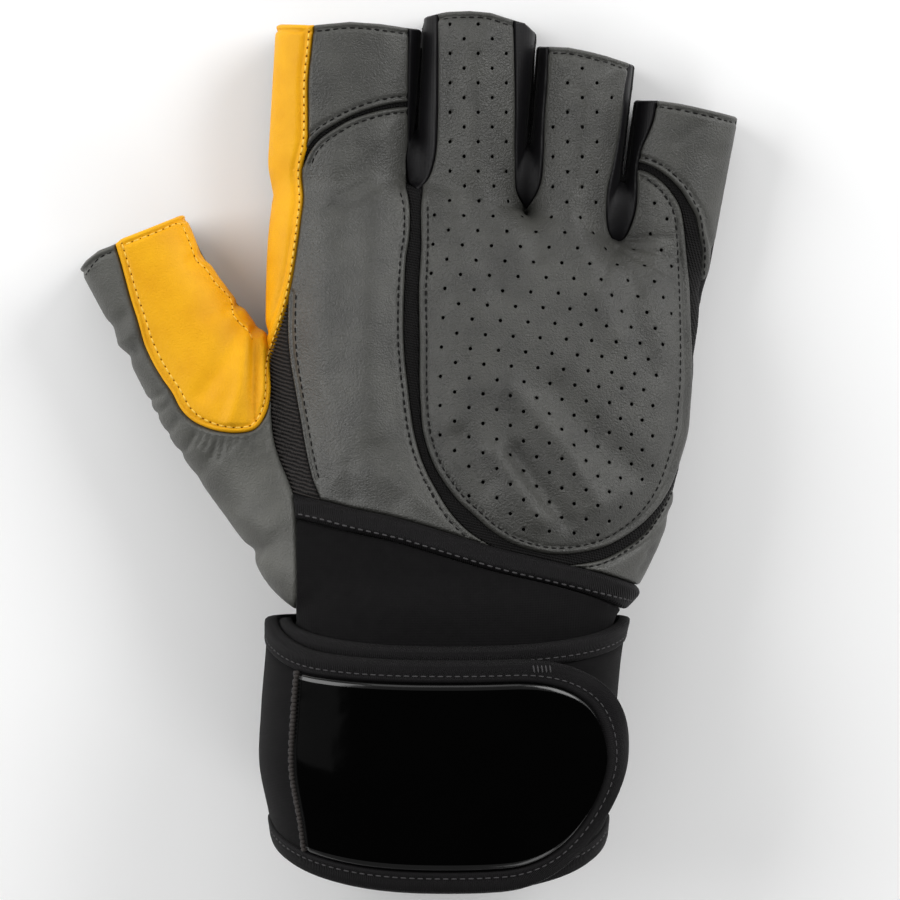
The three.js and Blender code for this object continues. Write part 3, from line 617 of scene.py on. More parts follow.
def crotch_web(place):
    """The low floor between two fingers, where the gusset turns round."""
    wide, long, tall = web_size
    rings = []
    for turn in np.linspace(-web_turn, web_turn, 11):
        share = math.cos(math.radians(turn))
        section = {
            "x": place[0],
            "y": place[1] + long * math.sin(math.radians(turn)),
            "breadth": 2 * wide * share,
            "top": web_level + tall * share,
            "floor": back_wall + 1.0,
        }
        rings.append(section_ring(section, 24))
    return rings


def tube_faces(rows, count):
    """Faces of a closed tube through rows of rings, each of an even count of points."""
    around = np.arange(count)
    onward = np.roll(around, -1)
    faces = []
    for low in range(0, (rows - 1) * count, count):
        faces.append(np.stack([low + around, low + onward, low + count + onward, low + count + around], 1))
    strip = np.arange(count // 2 - 1)
    cap = np.stack([strip, count - 1 - strip, count - 2 - strip, strip + 1], 1)
    return np.vstack(faces + [cap, cap[:, ::-1] + (rows - 1) * count])


def mesh_arrays(mesh):
    """The points and triangles of a mesh."""
    mesh.calc_loop_triangles()
    points = np.zeros(len(mesh.vertices) * 3)
    mesh.vertices.foreach_get("co", points)
    triangles = np.zeros(len(mesh.loop_triangles) * 3, int)
    mesh.loop_triangles.foreach_get("vertices", triangles)
    return points.reshape(-1, 3), triangles.reshape(-1, 3)


def hand_form(voxel):
    """One smooth skin round the palm, thumb and fingers: its points and triangles."""
    tubes = [palm_tube(), thumb_tube()] + [finger_tube(n) for n in range(len(fingers))]
    points = []
    faces = []
    count = 0
    for rings in tubes + [crotch_web(place) for place in webs]:
        points += rings
        faces.append(tube_faces(len(rings), len(rings[0])) + count)
        count += len(rings) * len(rings[0])
    mesh = bpy.data.meshes.new("form")
    mesh.from_pydata(np.vstack(points).tolist(), [], np.vstack(faces).tolist())
    form = bpy.data.objects.new("form", mesh)
    bpy.context.scene.collection.objects.link(form)
    remesh = form.modifiers.new("remesh", "REMESH")
    remesh.mode = "VOXEL"
    remesh.voxel_size = voxel
    evaluated = form.evaluated_get(bpy.context.evaluated_depsgraph_get())
    points, triangles = mesh_arrays(evaluated.to_mesh())
    evaluated.to_mesh_clear()
    bpy.data.objects.remove(form)
    bpy.data.meshes.remove(mesh)
    return relaxed(points, triangles)


def edges_of(triangles):
    return np.vstack([triangles[:, [0, 1]], triangles[:, [1, 2]], triangles[:, [2, 0]]])


def spread_evenly(values, pairs, share):
    """Each value moved by a share towards the mean of its neighbours."""
    count = len(values)
    degree = np.bincount(pairs.ravel(), minlength=count)[:, None]
    total = np.zeros_like(values)
    for column in range(values.shape[1]):
        total[:, column] = np.bincount(pairs[:, 0], values[pairs[:, 1], column], count)
        total[:, column] += np.bincount(pairs[:, 1], values[pairs[:, 0], column], count)
    return values + share * (total / np.maximum(degree, 1) - values)


def relaxed(points, triangles):
    """The skin without its steps, and with soft passages where the fingers and the thumb leave the palm."""
    pairs = np.unique(np.sort(edges_of(triangles), axis=1), axis=0)
    for _ in range(relax_rounds):
        points = spread_evenly(points, pairs, 0.6)
        points = spread_evenly(points, pairs, -0.61)
    x, y, z = points.T
    past_knuckles = y - knuckle_line(x) + knuckle_drop
    knuckles = smooth_step(z, palm_side_from, palm_side_full) * np.exp(-(past_knuckles / knuckle_blend) ** 2)
    ball = np.exp(-(line_distance(points[:, :2], np.array(ball_line)) / ball_blend) ** 2)
    soft = np.maximum(knuckles, ball)
    for crotch in crotches:
        away = np.linalg.norm(points[:, :2] - np.array(crotch), axis=1)
        soft = np.maximum(soft, np.exp(-(away / crotch_blend) ** 2))
    for _ in range(blend_rounds):
        moved = spread_evenly(points, pairs, 0.7)
        points = points + soft[:, None] * (moved - points)
    return points, triangles


def knuckle_line(x):
    """How far along the hand the fingers start."""
    return palm_length + (knuckle_middle * palm_breadth - x) * math.tan(math.radians(knuckle_slope))


def normals_of(points, triangles):
    """Smooth outward directions at the points."""
    a, b, c = (points[triangles[:, i]] for i in range(3))
    face = np.cross(b - a, c - a)
    total = np.zeros_like(points)
    for corner in range(3):
        for column in range(3):
            total[:, column] += np.bincount(triangles[:, corner], face[:, column], len(points))
    pairs = np.unique(np.sort(edges_of(triangles), axis=1), axis=0)
    smooth = unit(total)
    for _ in range(6):
        smooth = spread_evenly(smooth, pairs, 0.7)
    return unit(smooth)


# Fields over the skin, positive inside each zone

far = 300.0


def zones():
    """Closed outlines of the zones in the view plane."""
    sewn = smooth_line(yellow_sewn)
    pad = smooth_line(pad_edge)
    thenar = smooth_line(thenar_edge)
    made = {
        "beyond_fingers": np.vstack([finger_hems, [(70.0, far), (-60.0, far)]]),
        "beyond_thumb": np.vstack([thumb_hem, [(-60.0, far), (-far, far), (-far, 77.0)]]),
        "yellow": np.vstack([sewn, [(-60.0, 150.0)]]),
        "thumb": np.vstack([smooth_line(thumb_edge), [(-far, 4.9), (-far, 140.0), (-49.4, 140.0)]]),
        "web": np.vstack([smooth_line(web_edge), [(-56.0, 28.0), (-56.0, 84.0)]]),
        "index": np.vstack([smooth_line(index_arc), [(-14.0, far), (-80.0, far), (-80.0, 107.0)]]),
        "thenar": np.vstack([thenar, [(12.0, -20.0), (-80.0, -20.0), (-80.0, 100.0)],
                             smooth_line(thenar_arc), [(-14.5, 116.0)]]),
        "pad": np.vstack([pad, [(34.5, 142.0), (-10.5, 160.0), (-12.5, 114.0)]]),
        "little": np.vstack([smooth_line(little_edge), [(90.0, 68.0), (90.0, 150.0), (37.5, 150.0)]]),
        "heel": np.vstack([smooth_line(heel_edge), smooth_line(heel_side), [(30.0, 8.0), (14.0, 10.0)]]),
        "tape_top": np.vstack([smooth_line(tape_top), [(60.0, far), (-70.0, far)]]),
    }
    for number, edge in enumerate(gusset_edges):
        made[f"gusset_{number}"] = smooth_line(edge)
    return made


def seam_line(y):
    rows = [{"y": row["along"] * palm_length, "z": row["height"] * seam_height} for row in seam_rows]
    return np.interp(y, [row["y"] for row in rows], [row["z"] for row in rows])


class Skin:
    """A triangle mesh with a table of values at its points: place, outward direction and fields."""

    def __init__(self, values, triangles, names):
        self.values = values
        self.triangles = triangles
        self.names = names

    def field(self, name):
        if "&" in name:
            return np.minimum.reduce([self.field(part) for part in name.split("&")])
        if name.startswith("-"):
            return -self.field(name[1:])
        return self.values[:, self.names.index(name)]

    def joined(self, name, column):
        """The same skin with one more field."""
        return Skin(np.column_stack([self.values, column]), self.triangles, self.names + [name])

    def place(self):
        return self.values[:, 0:3]

    def outward(self):
        return self.values[:, 3:6]

    def sliced(self, field, level=0.0):
        """The same skin with its triangles split along the line where a field has a level."""
        side = field - level
        side = np.where(np.abs(side) < 1e-5, 1e-5, side)
        t = self.triangles
        above = side[t] > 0
        crossed = above.any(axis=1) & ~above.all(axis=1)
        if not crossed.any():
            return self
        cut = t[crossed]
        up = above[crossed]
        lone_value = up.sum(axis=1) == 1
        lone = np.where(lone_value, up.argmax(axis=1), (~up).argmax(axis=1))
        rows = np.arange(len(cut))
        a = cut[rows, lone]
        b = cut[rows, (lone + 1) % 3]
        c = cut[rows, (lone + 2) % 3]
        pairs = np.vstack([np.stack([a, b], 1), np.stack([a, c], 1)])
        pairs = np.sort(pairs, axis=1)
        keys = pairs[:, 0].astype(np.int64) * (len(side) + 1) + pairs[:, 1]
        _, first, where = np.unique(keys, return_index=True, return_inverse=True)
        low = pairs[first, 0]
        high = pairs[first, 1]
        share = (side[low] / (side[low] - side[high]))[:, None]
        added = self.values[low] * (1 - share) + self.values[high] * share
        new = len(side) + where
        p = new[:len(cut)]
        q = new[len(cut):]
        split = np.vstack([np.stack([a, p, q], 1), np.stack([p, b, c], 1), np.stack([p, c, q], 1)])
        return Skin(np.vstack([self.values, added]), np.vstack([t[~crossed], split]), self.names)

    def where(self, field):
        """The part where the mean of a field over a triangle is positive."""
        chosen = self.triangles[field[self.triangles].mean(axis=1) > 0]
        used, flat = np.unique(chosen, return_inverse=True)
        return Skin(self.values[used], flat.reshape(-1, 3), self.names)


def make_skin(voxel):
    points, triangles = hand_form(voxel)
    outward = normals_of(points, triangles)
    seen = in_view(points)
    columns = {"u": seen[:, 0], "v": seen[:, 1]}
    for name, outline in zones().items():
        columns[name] = signed_inside(seen, outline)
    columns["hem"] = np.minimum(-columns["beyond_fingers"], -columns["beyond_thumb"])
    columns["gusset"] = np.maximum.reduce([columns[f"gusset_{n}"] for n in range(len(gusset_edges))])
    columns["front"] = points[:, 2] - seam_line(points[:, 1])
    columns["yellow_front"] = points[:, 2] - yellow_seam_height
    columns["patch"] = np.minimum(columns["yellow"], columns["yellow_front"])
    columns["wrist_end"] = points[:, 1] + cuff_length
    columns["tape_low"] = columns["tape_top"] + tape_drop
    columns["fold"] = fold_depth(seen)
    names = ["x", "y", "z", "nx", "ny", "nz"] + list(columns)
    return Skin(np.column_stack([points, outward] + list(columns.values())), triangles, names)


def fold_depth(seen):
    """Depth of the folds, dents and gathers at places of the view plane."""
    total = np.zeros(len(seen))
    for fold in folds:
        away = line_distance(seen, smooth_line(fold["line"], 1.0))
        total += fold["depth"] * np.exp(-(away / fold["width"]) ** 2)
    for i in range(gather_count):
        share = i / (gather_count - 1)
        foot = np.array(gather_from) * (1 - share) + np.array(gather_to) * share
        foot[1] -= gather_bow * math.sin(math.pi * share)
        angle = math.radians(gather_turn + gather_fan * share)
        length = gather_length * (0.7 + 0.3 * math.sin(5.0 * i))
        tip = foot + length * np.array([math.cos(angle), math.sin(angle)])
        away = line_distance(seen, np.array([foot, tip]))
        total += gather_depth * np.exp(-(away / gather_width) ** 2)
    return total


# Panels

def profile(edge, wall, roll, puff=0.0):
    """Height of a panel above the skin at a distance from its edge."""
    share = np.clip(edge / roll, 0.0, 1.0)
    height = wall * (rim_share + (1 - rim_share) * np.sqrt(1 - (1 - share) ** 2))
    return height + puff * smooth_step(edge, puff_from, puff_full)


def panel(name, skin, zone, wall, material, nodes, roll=0.9, puff=0.0, rows=(), fold=1.0,
          levels=(0.1, 0.3, 0.6), relief=None):
    """A piece of the glove: the part of the skin inside all the named zones, with its own thickness.
    Where rows of stitches run, the piece is drawn in along a narrow channel."""
    for part in zone.split("&"):
        skin = skin.sliced(skin.field(part))
    skin = skin.where(skin.field(zone))
    for level in (*levels, roll):
        skin = skin.sliced(skin.field(zone), level)
    if rows:
        seen = np.stack([skin.field("u"), skin.field("v")], axis=1)
        skin = skin.joined("sewn", np.minimum.reduce([line_distance(seen, row) for row in rows]))
        for level in (0.2, channel_width, 2 * channel_width):
            skin = skin.sliced(skin.field("sewn"), level)
    edge = np.maximum(skin.field(zone), 0.0)
    height = profile(edge, wall, roll, puff)
    height -= fold * skin.field("fold") * smooth_step(edge, 0.2, 2.0)
    if rows:
        height -= channel_depth * np.exp(-(skin.field("sewn") / channel_width) ** 2)
    if relief is not None:
        skin, height = relief(skin, zone)
    outer = skin.place() + skin.outward() * height[:, None]
    outer[:, 2] = np.maximum(outer[:, 2], 0.0)
    inner = skin.place() + skin.outward() * inner_gap
    made = thick_mesh(name, outer, inner, skin.triangles, np.stack([skin.field("u"), skin.field("v")], 1))
    return dressed(made, material, nodes)


def thick_mesh(name, outer, inner, triangles, flat):
    """A closed sheet between an outer and an inner skin with the same triangles."""
    count = len(outer)
    edges = edges_of(triangles)
    key = np.sort(edges, axis=1)
    keys = key[:, 0].astype(np.int64) * (count + 1) + key[:, 1]
    _, first, counts = np.unique(keys, return_index=True, return_counts=True)
    a, b = edges[first[counts == 1]].T
    sides = np.vstack([np.stack([b, a, a + count], 1), np.stack([b, a + count, b + count], 1)])
    faces = np.vstack([triangles, triangles[:, ::-1] + count, sides])
    return new_mesh(name, np.vstack([outer, inner]), faces, np.vstack([flat, flat]))


def new_mesh(name, points, faces, flat=None, smooth=True):
    """An object from points in hand coordinates."""
    mesh = bpy.data.meshes.new(name)
    placed = (np.asarray(points) - origin) * millimetre
    mesh.vertices.add(len(placed))
    mesh.vertices.foreach_set("co", placed.astype(np.float32).ravel())
    mesh.loops.add(faces.size)
    mesh.loops.foreach_set("vertex_index", faces.astype(np.int32).ravel())
    mesh.polygons.add(len(faces))
    mesh.polygons.foreach_set("loop_start", np.arange(0, faces.size, faces.shape[1], dtype=np.int32))
    mesh.polygons.foreach_set("use_smooth", np.full(len(faces), smooth))
    mesh.update(calc_edges=True)
    if flat is not None:
        layer = mesh.uv_layers.new(name="flat")
        layer.data.foreach_set("uv", flat[faces.ravel()].astype(np.float32).ravel())
    mesh.validate()
    made = bpy.data.objects.new(name, mesh)
    bpy.context.scene.collection.objects.link(made)
    return made


def dressed(made, material, nodes):
    made.data.materials.append(material)
    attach(made, "root")
    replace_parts(made, *nodes)
    return made


# Threads

def many_tubes(corners, sides):
    """Points and faces of many small tubes, from the places of each corner, ring after ring."""
    own = tube_faces(len(corners) // sides, sides)
    firsts = np.arange(len(corners[0])) * len(corners)
    faces = (own[None] + firsts[:, None, None]).reshape(-1, 4)
    return np.stack(corners, axis=1).reshape(-1, 3), faces


def thread_mesh(name, starts, ends, ups, radius, material, slot, nodes):
    """One small rounded thread between each start and end."""
    length = np.linalg.norm(ends - starts, axis=1, keepdims=True)
    along = unit(ends - starts)
    side = unit(np.cross(along, ups))
    up = np.cross(side, along)
    corners = []
    for place, girth in thread_rings:
        bulge = thread_bulge * (1 - (2 * place) ** 2)
        for k in range(thread_sides):
            angle = 2 * math.pi * k / thread_sides
            offset = side * math.cos(angle) * girth + up * (math.sin(angle) * girth + bulge)
            corners.append((starts + ends) / 2 + along * place * length + offset * radius)
    return dressed(new_mesh(name, *many_tubes(corners, thread_sides)), material, nodes)


class Ground:
    """The surfaces that threads lie on, seen from the camera."""

    def __init__(self, pieces):
        points = []
        faces = []
        for piece in pieces:
            own, triangles = mesh_arrays(piece.data)
            faces.append(triangles + sum(len(part) for part in points))
            points.append(own)
        placed = np.vstack(points) / millimetre + origin
        self.tree = BVHTree.FromPolygons(placed.tolist(), np.vstack(faces).tolist())

    def under(self, x, y):
        eye = Vector((camera_x, camera_y, camera_height))
        ray = (Vector((x, y, view_level)) - eye).normalized()
        place, normal, _, _ = self.tree.ray_cast(eye, ray)
        if place is None:
            return None
        if normal.dot(ray) > 0:
            normal.negate()
        return np.array(place), np.array(normal)


def run_on(ground, line):
    """A line of the view plane laid on the ground, as places and directions out of it."""
    found = [ground.under(x, y) for x, y in line]
    found = [spot for spot in found if spot is not None]
    return np.array([spot[0] for spot in found]), np.array([spot[1] for spot in found])


def offset_line(line, inset):
    """The line moved sideways, to the left of its run where inset is positive."""
    run = unit(np.gradient(line, axis=0))
    return line + np.stack([-run[:, 1], run[:, 0]], axis=1) * inset


def spaced(places, outward, share, pitch=stitch_pitch, shift=0.0):
    """Starts, ends and outward directions of even stitches along a line."""
    gaps = np.linalg.norm(np.diff(places, axis=0), axis=1)
    at = np.concatenate([[0.0], np.cumsum(gaps)])
    count = max(int(at[-1] / pitch), 1)
    middles = (np.arange(count) + 0.5 + shift) * at[-1] / count
    half = share * at[-1] / count / 2

    def spot(values, where):
        return np.stack([np.interp(where, at, values[:, k]) for k in range(3)], axis=1)

    return spot(places, middles - half), spot(places, middles + half), spot(outward, middles)


def stitch_rows(name, ground, lines, material, slot, nodes, share=stitch_share, sink=0.05,
                radius=thread_radius, shift=0.0):
    rows = [spaced(*run_on(ground, line), share, shift=shift) for line in lines]
    starts, ends, ups = (np.vstack([row[k] for row in rows]) for k in range(3))
    return thread_mesh(name, starts - ups * sink, ends - ups * sink, ups, radius, material, slot, nodes)


# Materials

def linear(colour):
    """A colour seen on screen, as the numbers that the shader takes."""
    made = []
    for value in colour:
        share = value / 255
        made.append(share / 12.92 if share <= 0.04045 else ((share + 0.055) / 1.055) ** 2.4)
    return (*made, 1.0)


class Surface:
    """A procedural material, built node by node. Its vector runs in millimetres."""

    def __init__(self, name, roughness, specular, sheen=0.0):
        self.material = bpy.data.materials.new(name)
        self.material.use_nodes = True
        self.tree = self.material.node_tree
        self.shader = self.tree.nodes["Principled BSDF"]
        self.shader.inputs["Roughness"].default_value = roughness
        self.shader.inputs["Specular IOR Level"].default_value = specular
        self.shader.inputs["Sheen Weight"].default_value = sheen
        self.shader.inputs["Sheen Roughness"].default_value = 0.4
        place = self.node("TexCoord", "Object", {})
        self.vector = self.node("Mapping", "Vector", {"Vector": place, "Scale": (1000, 1000, 1000)})

    def node(self, kind, output, inputs, **settings):
        """One output of a new node, whose inputs are set to numbers or wired to other outputs."""
        made = self.tree.nodes.new("ShaderNode" + kind)
        for name, value in settings.items():
            setattr(made, name, value)
        for socket, value in inputs.items():
            if isinstance(value, bpy.types.NodeSocket):
                self.tree.links.new(value, made.inputs[socket])
            else:
                made.inputs[socket].default_value = value
        return made.outputs[output]

    def noise(self, scale, detail, output="Fac"):
        return self.node("TexNoise", output, {"Vector": self.vector, "Scale": scale, "Detail": detail})

    def colour(self, value, dark, light, low=0.3, high=0.7):
        """The base colour, from dark to light along a value."""
        ramp = self.node("ValToRGB", "Color", {"Fac": value})
        stops = ramp.node.color_ramp.elements
        stops[0].position = low
        stops[1].position = high
        stops[0].color = linear(dark)
        stops[1].color = linear(light)
        self.tree.links.new(ramp, self.shader.inputs["Base Color"])

    def bump(self, height, strength, distance, before=None):
        inputs = {"Height": height, "Strength": strength, "Distance": distance * millimetre}
        if before is not None:
            inputs["Normal"] = before
        normal = self.node("Bump", "Normal", inputs)
        self.tree.links.new(normal, self.shader.inputs["Normal"])
        return normal


def leather(name, dark, light, roughness, grain, specular=0.45):
    made = Surface(name, roughness, specular)
    made.colour(made.noise(0.12, 4.0), dark, light)
    warp = made.noise(1.1, 3.0, "Color")
    mixed = made.node("Mix", 1, {4: made.vector, 5: warp, "Factor": 0.35}, data_type="VECTOR")
    cells = made.node("TexVoronoi", "Distance", {"Vector": mixed, "Scale": 1.9}, feature="DISTANCE_TO_EDGE")
    furrows = made.node("MapRange", "Result", {"Value": cells, "From Max": 0.12})
    first = made.bump(furrows, grain, 0.05)
    made.bump(made.noise(2.2, 4.0), grain, 0.32, first)
    return made.material


def weave(name, dark, light, roughness, pitches, turn=0.0, strength=0.5, sheen=0.0, specular=0.3, depth=0.12,
          painted_rib_shade=False):
    """Cloth with a weave of the given thread pitches in millimetres. Where asked, its colour runs in stripes
    with the ribs: lighter on their tops, which is painted light, and darker in the grooves, which is painted
    shade.
    """
    made = Surface(name, roughness, specular, sheen)
    flat = made.node("TexCoord", "UV", {})
    turned = made.node("Mapping", "Vector", {
        "Vector": flat,
        "Rotation": (0, 0, math.radians(turn)),
        "Location": (0, pitches[1] / 4, 0),
    })
    split = made.node("SeparateXYZ", 0, {"Vector": turned}).node
    waves = []
    for axis, pitch in enumerate(pitches):
        scaled = made.node("Math", 0, {0: split.outputs[axis], 1: 2 * math.pi / pitch}, operation="MULTIPLY")
        waves.append(made.node("Math", 0, {0: scaled}, operation="SINE"))
    both = made.node("Math", 0, {0: waves[0], 1: waves[1]}, operation="MULTIPLY")
    # Painted light and shade: the colour is lighter on the ribs' tops and darker in the grooves between them.
    if painted_rib_shade:
        level = made.node("MapRange", "Result", {"Value": waves[1], "From Min": -1.0})
        made.colour(level, dark, light, 0.25, 0.8)
    else:
        made.colour(made.noise(0.4, 4.0), dark, light)
    made.bump(both, strength, depth)
    return made.material


def gloss(name, colour, roughness, shine):
    made = Surface(name, roughness, shine)
    made.colour(made.noise(0.06, 4.0), [value * 0.8 for value in colour], colour)
    made.bump(made.noise(0.08, 2.0), 0.35, 1.2)
    return made.material


def plain_thread(name, colour, roughness=0.7, specular=0.2):
    made = Surface(name, roughness, specular)
    made.colour(made.noise(6.0, 4.0), colour, [min(value * 1.25, 255) for value in colour])
    return made.material


grey_leather = leather("grey_leather", (52, 52, 49), (68, 68, 64), 0.43, 0.7, 0.55)
# The thumb's leather is the grey leather made lighter: painted light, where the thumb faces the left lamp.
thumb_lit_grey = leather("thumb_leather_painted_light", (68, 68, 64), (86, 86, 81), 0.5, 0.6)
pad_leather = leather("perforated_leather", (46, 46, 43), (62, 62, 58), 0.43, 0.9, 0.55)
yellow_leather = leather("yellow_leather", (225, 159, 5), (237, 173, 13), 0.55, 0.4, 0.22)
satin = weave("satin_gusset", (8, 7, 9), (12, 11, 14), 0.45, (0.45, 0.45), 45, 0.35, 0.05, 0.2, 0.05)
stretch = weave("stretch_fabric", (12, 11, 12), (18, 17, 18), 0.75, (0.7, 0.5), 0, 0.5, 0.08)
knit = weave("black_knit", (6, 5, 5), (13, 12, 12), 0.85, (1.1, 0.7), 45, 0.9, 0.03, 0.2, 0.25)
# The webbing's stripes are painted: light on the ribs, shade in the grooves.
elastic = weave("ribbed_elastic", (6, 5, 5), (46, 42, 40), 0.7, (0.6, rib_pitch * math.cos(rib_slant)),
                math.degrees(rib_slant), 0.4, 0.04, 0.25, 0.1, True)
neoprene = weave("neoprene", (6, 5, 6), (10, 9, 10), 0.8, (0.5, 0.5), 45, 0.5, 0.03, 0.12, 0.06)
tape = weave("ribbed_tape", (7, 6, 7), (12, 10, 12), 0.7, (0.45, 6.0), 0, 0.9, 0.02, 0.16, 0.14)
gloss_black = gloss("gloss_patch", (3, 3, 3), 0.14, 0.012)
gloss_rim = gloss("gloss_rim", (3, 3, 3), 0.18, 0.5)
black_thread = plain_thread("black_thread", (8, 7, 7))
yellow_thread = plain_thread("yellow_thread", (224, 172, 72))
grey_thread = plain_thread("grey_thread", (58, 57, 58))
# Dark brown marks between the yellow stitches: painted shade in the needle holes.
needle_hole_painted_shade = plain_thread("needle_hole_painted_shade", (104, 62, 14), 0.9, 0.05)
# Near black for the walls of the pad's holes: painted shade for the dark inside of each hole.
hole_painted_shade = plain_thread("hole_painted_shade", (3, 3, 3), 0.95, 0.02)


# The rows of stitches of each panel, in the view plane

def row_beside(outline, first, last, inset):
    """A row of stitches along a stretch of an outline, to its left where inset is positive."""
    return offset_line(smooth_line(outline[first:last]), inset)


def sewing_rows():
    strip_hem = np.array(finger_hems[1:3]) + np.array([[-0.2, 0.0], [-0.6, 0.0]])
    return {
        "index": [
            row_beside(index_arc, 2, -1, hem_inset),
            row_beside(finger_hems, 2, 6, -hem_inset),
        ],
        "thenar": [
            row_beside(thenar_edge, 2, -3, -seam_inset),
            row_beside(thenar_arc, 1, -1, -seam_inset),
            row_beside(web_edge, 1, -2, narrow_inset),
        ],
        "pad": [
            row_beside(pad_edge, 1, -1, pad_inset),
            row_beside(finger_hems, 10, 15, -hem_inset),
            row_beside(finger_hems, 19, 24, -hem_inset),
        ],
        "little": [
            row_beside(little_edge, 1, -1, hem_inset),
            row_beside(finger_hems, 28, 33, -hem_inset),
        ],
        "heel": [row_beside(heel_edge, 1, -1, -narrow_inset)],
        "yellow": [
            row_beside(yellow_sewn, 1, -1, -seam_inset),
            smooth_line(yellow_free),
            offset_line(strip_hem, -yellow_inset),
            row_beside(thumb_hem, 5, 9, -yellow_inset),
        ],
        "thumb": [row_beside(thumb_hem, 1, 5, -yellow_inset)],
        "tape": [smooth_line(tape_top[1:-1]) - np.array([0.0, tape_stitch])],
    }


sewing = sewing_rows()


# The glove's pieces

fine = make_skin(fine_voxel)
coarse = make_skin(coarse_voxel)


def back_of_hand():
    panel("hand_back_fabric", coarse, "-front&hem&tape_top&-thumb&-patch", back_wall, stretch,
          ["hand_back"], roll=0.8, fold=0.0)


def gussets():
    names = ["fourchette_index_middle", "fourchette_middle_ring", "fourchette_ring_little"]
    for number, node in enumerate(names):
        panel(f"{node}_satin", fine, f"gusset_{number}&hem&front", gusset_wall, satin,
              [node], roll=0.5, fold=0.2)


def index_panel():
    return panel("index_finger_leather", fine, "index&hem&front&-gusset&-yellow&-pad", leather_wall,
                 grey_leather, ["index_finger_panel"], rows=sewing["index"])


def thenar_panel():
    made = panel("thenar_leather", fine, "thenar&front&-index&-gusset&-yellow&-thumb&-web&-pad&tape_top",
                 leather_wall, grey_leather, ["thenar_panel"], roll=1.0, puff=thenar_puff,
                 rows=sewing["thenar"])
    return made


def palm_pad():
    made = panel("palm_pad_leather", fine, "pad&hem&front&-gusset&tape_top", leather_wall, pad_leather,
                 ["palm_pad"], roll=1.1, puff=pad_puff, rows=sewing["pad"])
    return made


def knit_strip():
    zone = "front&hem&tape_top&-pad&-gusset&-yellow&-thumb&-web&-thenar&-index&-little&-heel"
    panel("knit_strip", fine, zone, mesh_wall, knit, ["mesh_strip"], roll=0.3, fold=0.3)


def little_panel():
    return panel("little_finger_leather", fine, "little&hem&front&-gusset&-pad", leather_wall, grey_leather,
                 ["little_finger_panel"], rows=sewing["little"])


def heel_panel():
    return panel("heel_leather", fine, "heel&front&tape_top&-pad", leather_wall, grey_leather,
                 ["heel_panel"], rows=sewing["heel"])


def yellow_panel():
    return panel("yellow_leather_patch", fine, "yellow&yellow_front&hem", yellow_wall, yellow_leather,
                 ["yellow_patch"], roll=1.1, rows=sewing["yellow"])


def thumb_panel():
    # The thumb takes the lighter copy of the grey leather: painted light.
    return panel("thumb_leather", fine, "thumb&hem&-patch", leather_wall, thumb_lit_grey,
                 ["thumb_shell"], rows=sewing["thumb"])


def along_ribs(skin):
    return skin.field("v") + math.tan(rib_slant) * skin.field("u")


def web_ribs(skin, zone):
    """Ribs across the webbing, each a ridge of its own."""
    low = int(along_ribs(skin).min() / rib_pitch) - 1
    high = int(along_ribs(skin).max() / rib_pitch) + 1
    for half in range(2 * low, 2 * high):
        skin = skin.sliced(along_ribs(skin), half * rib_pitch / 2)
    height = profile(np.maximum(skin.field(zone), 0.0), mesh_wall, 0.3)
    return skin, height + rib_height * np.cos(2 * math.pi * along_ribs(skin) / rib_pitch)


def webbing():
    panel("thumb_webbing_elastic", fine, "web&front&-yellow&-thumb&tape_top", mesh_wall, elastic,
          ["thumb_webbing"], roll=0.3, fold=0.0, relief=web_ribs)


def cuff_tape():
    return panel("cuff_tape", fine, "-tape_top&tape_low&-thumb", cuff_tape_wall, tape,
                 ["cuff_binding"], roll=1.4, fold=0.0, levels=(0.1, 0.3, 0.6, 1.0))


def cuff():
    panel("cuff_neoprene", coarse, "-tape_low&-thumb&wrist_end", cuff_wall, neoprene,
          ["cuff"], roll=0.6, fold=0.0)


# Perforations, drilled through the pad

def hole_places():
    places = []
    for column in range(-1, hole_columns):
        for row in range(hole_rows):
            y = hole_top - hole_pitch * (2 * row + column % 2)
            low = float(smooth_step(fingers_low - y, 0.0, hole_spread_length))
            pitch = middle_pitch if y > fingers_low and column < middle_columns else hole_pitch
            x = hole_left + pitch * column - low * (hole_shift + hole_spread * column * column)
            tilt = hole_tilt * float(smooth_step(hole_tilt_from - y, 0.0, hole_tilt_length))
            places.append((x, y + tilt * (x - hole_left)))
    return np.array(places)


def perforated(pad):
    """The pad with its holes, each cut by a small prism."""
    places = hole_places()
    outline = zones()
    clear = signed_inside(places, outline["pad"]) - pad_margin
    clear = np.minimum(clear, -signed_inside(places, outline["beyond_fingers"]) - pad_margin)
    for number in range(len(gusset_edges)):
        clear = np.minimum(clear, -signed_inside(places, outline[f"gusset_{number}"]) - hole_margin)
    middles, normals = run_on(Ground([pad]), places[clear > 0])
    across = unit(np.cross(normals, [0.0, 1.0, 0.0]))
    other = np.cross(normals, across)
    corners = []
    for reach in (-hole_depth, hole_above):
        for k in range(hole_sides):
            angle = 2 * math.pi * k / hole_sides
            offset = (across * math.cos(angle) + other * math.sin(angle)) * hole_radius
            corners.append(middles + offset + normals * reach)
    cutter = new_mesh("holes", *many_tubes(corners, hole_sides), smooth=False)
    # The holes' walls take the near-black material: painted shade.
    cutter.data.materials.append(hole_painted_shade)
    cut = pad.modifiers.new("holes", "BOOLEAN")
    cut.object = cutter
    cut.solver = "MANIFOLD"
    cut.operation = "DIFFERENCE"
    cut.material_mode = "TRANSFER"
    evaluated = pad.evaluated_get(bpy.context.evaluated_depsgraph_get())
    drilled = bpy.data.meshes.new_from_object(evaluated)
    pad.modifiers.clear()
    pad.data = drilled
    bpy.data.objects.remove(cutter)


# The wrist wrap

def facing(angle):
    """One in front of the wrist, nothing behind it."""
    return max(math.sin(math.radians(angle)), 0.0)


def strap_top(angle):
    lap = float(smooth_step(-angle, -second_lap, -lap_settled))
    return strap_rise - facing(angle) * strap_dip - lap * lap_shift


def strap_bottom(angle):
    return strap_rise - strap_height - facing(angle) * strap_low_dip


wrist_cache = {}


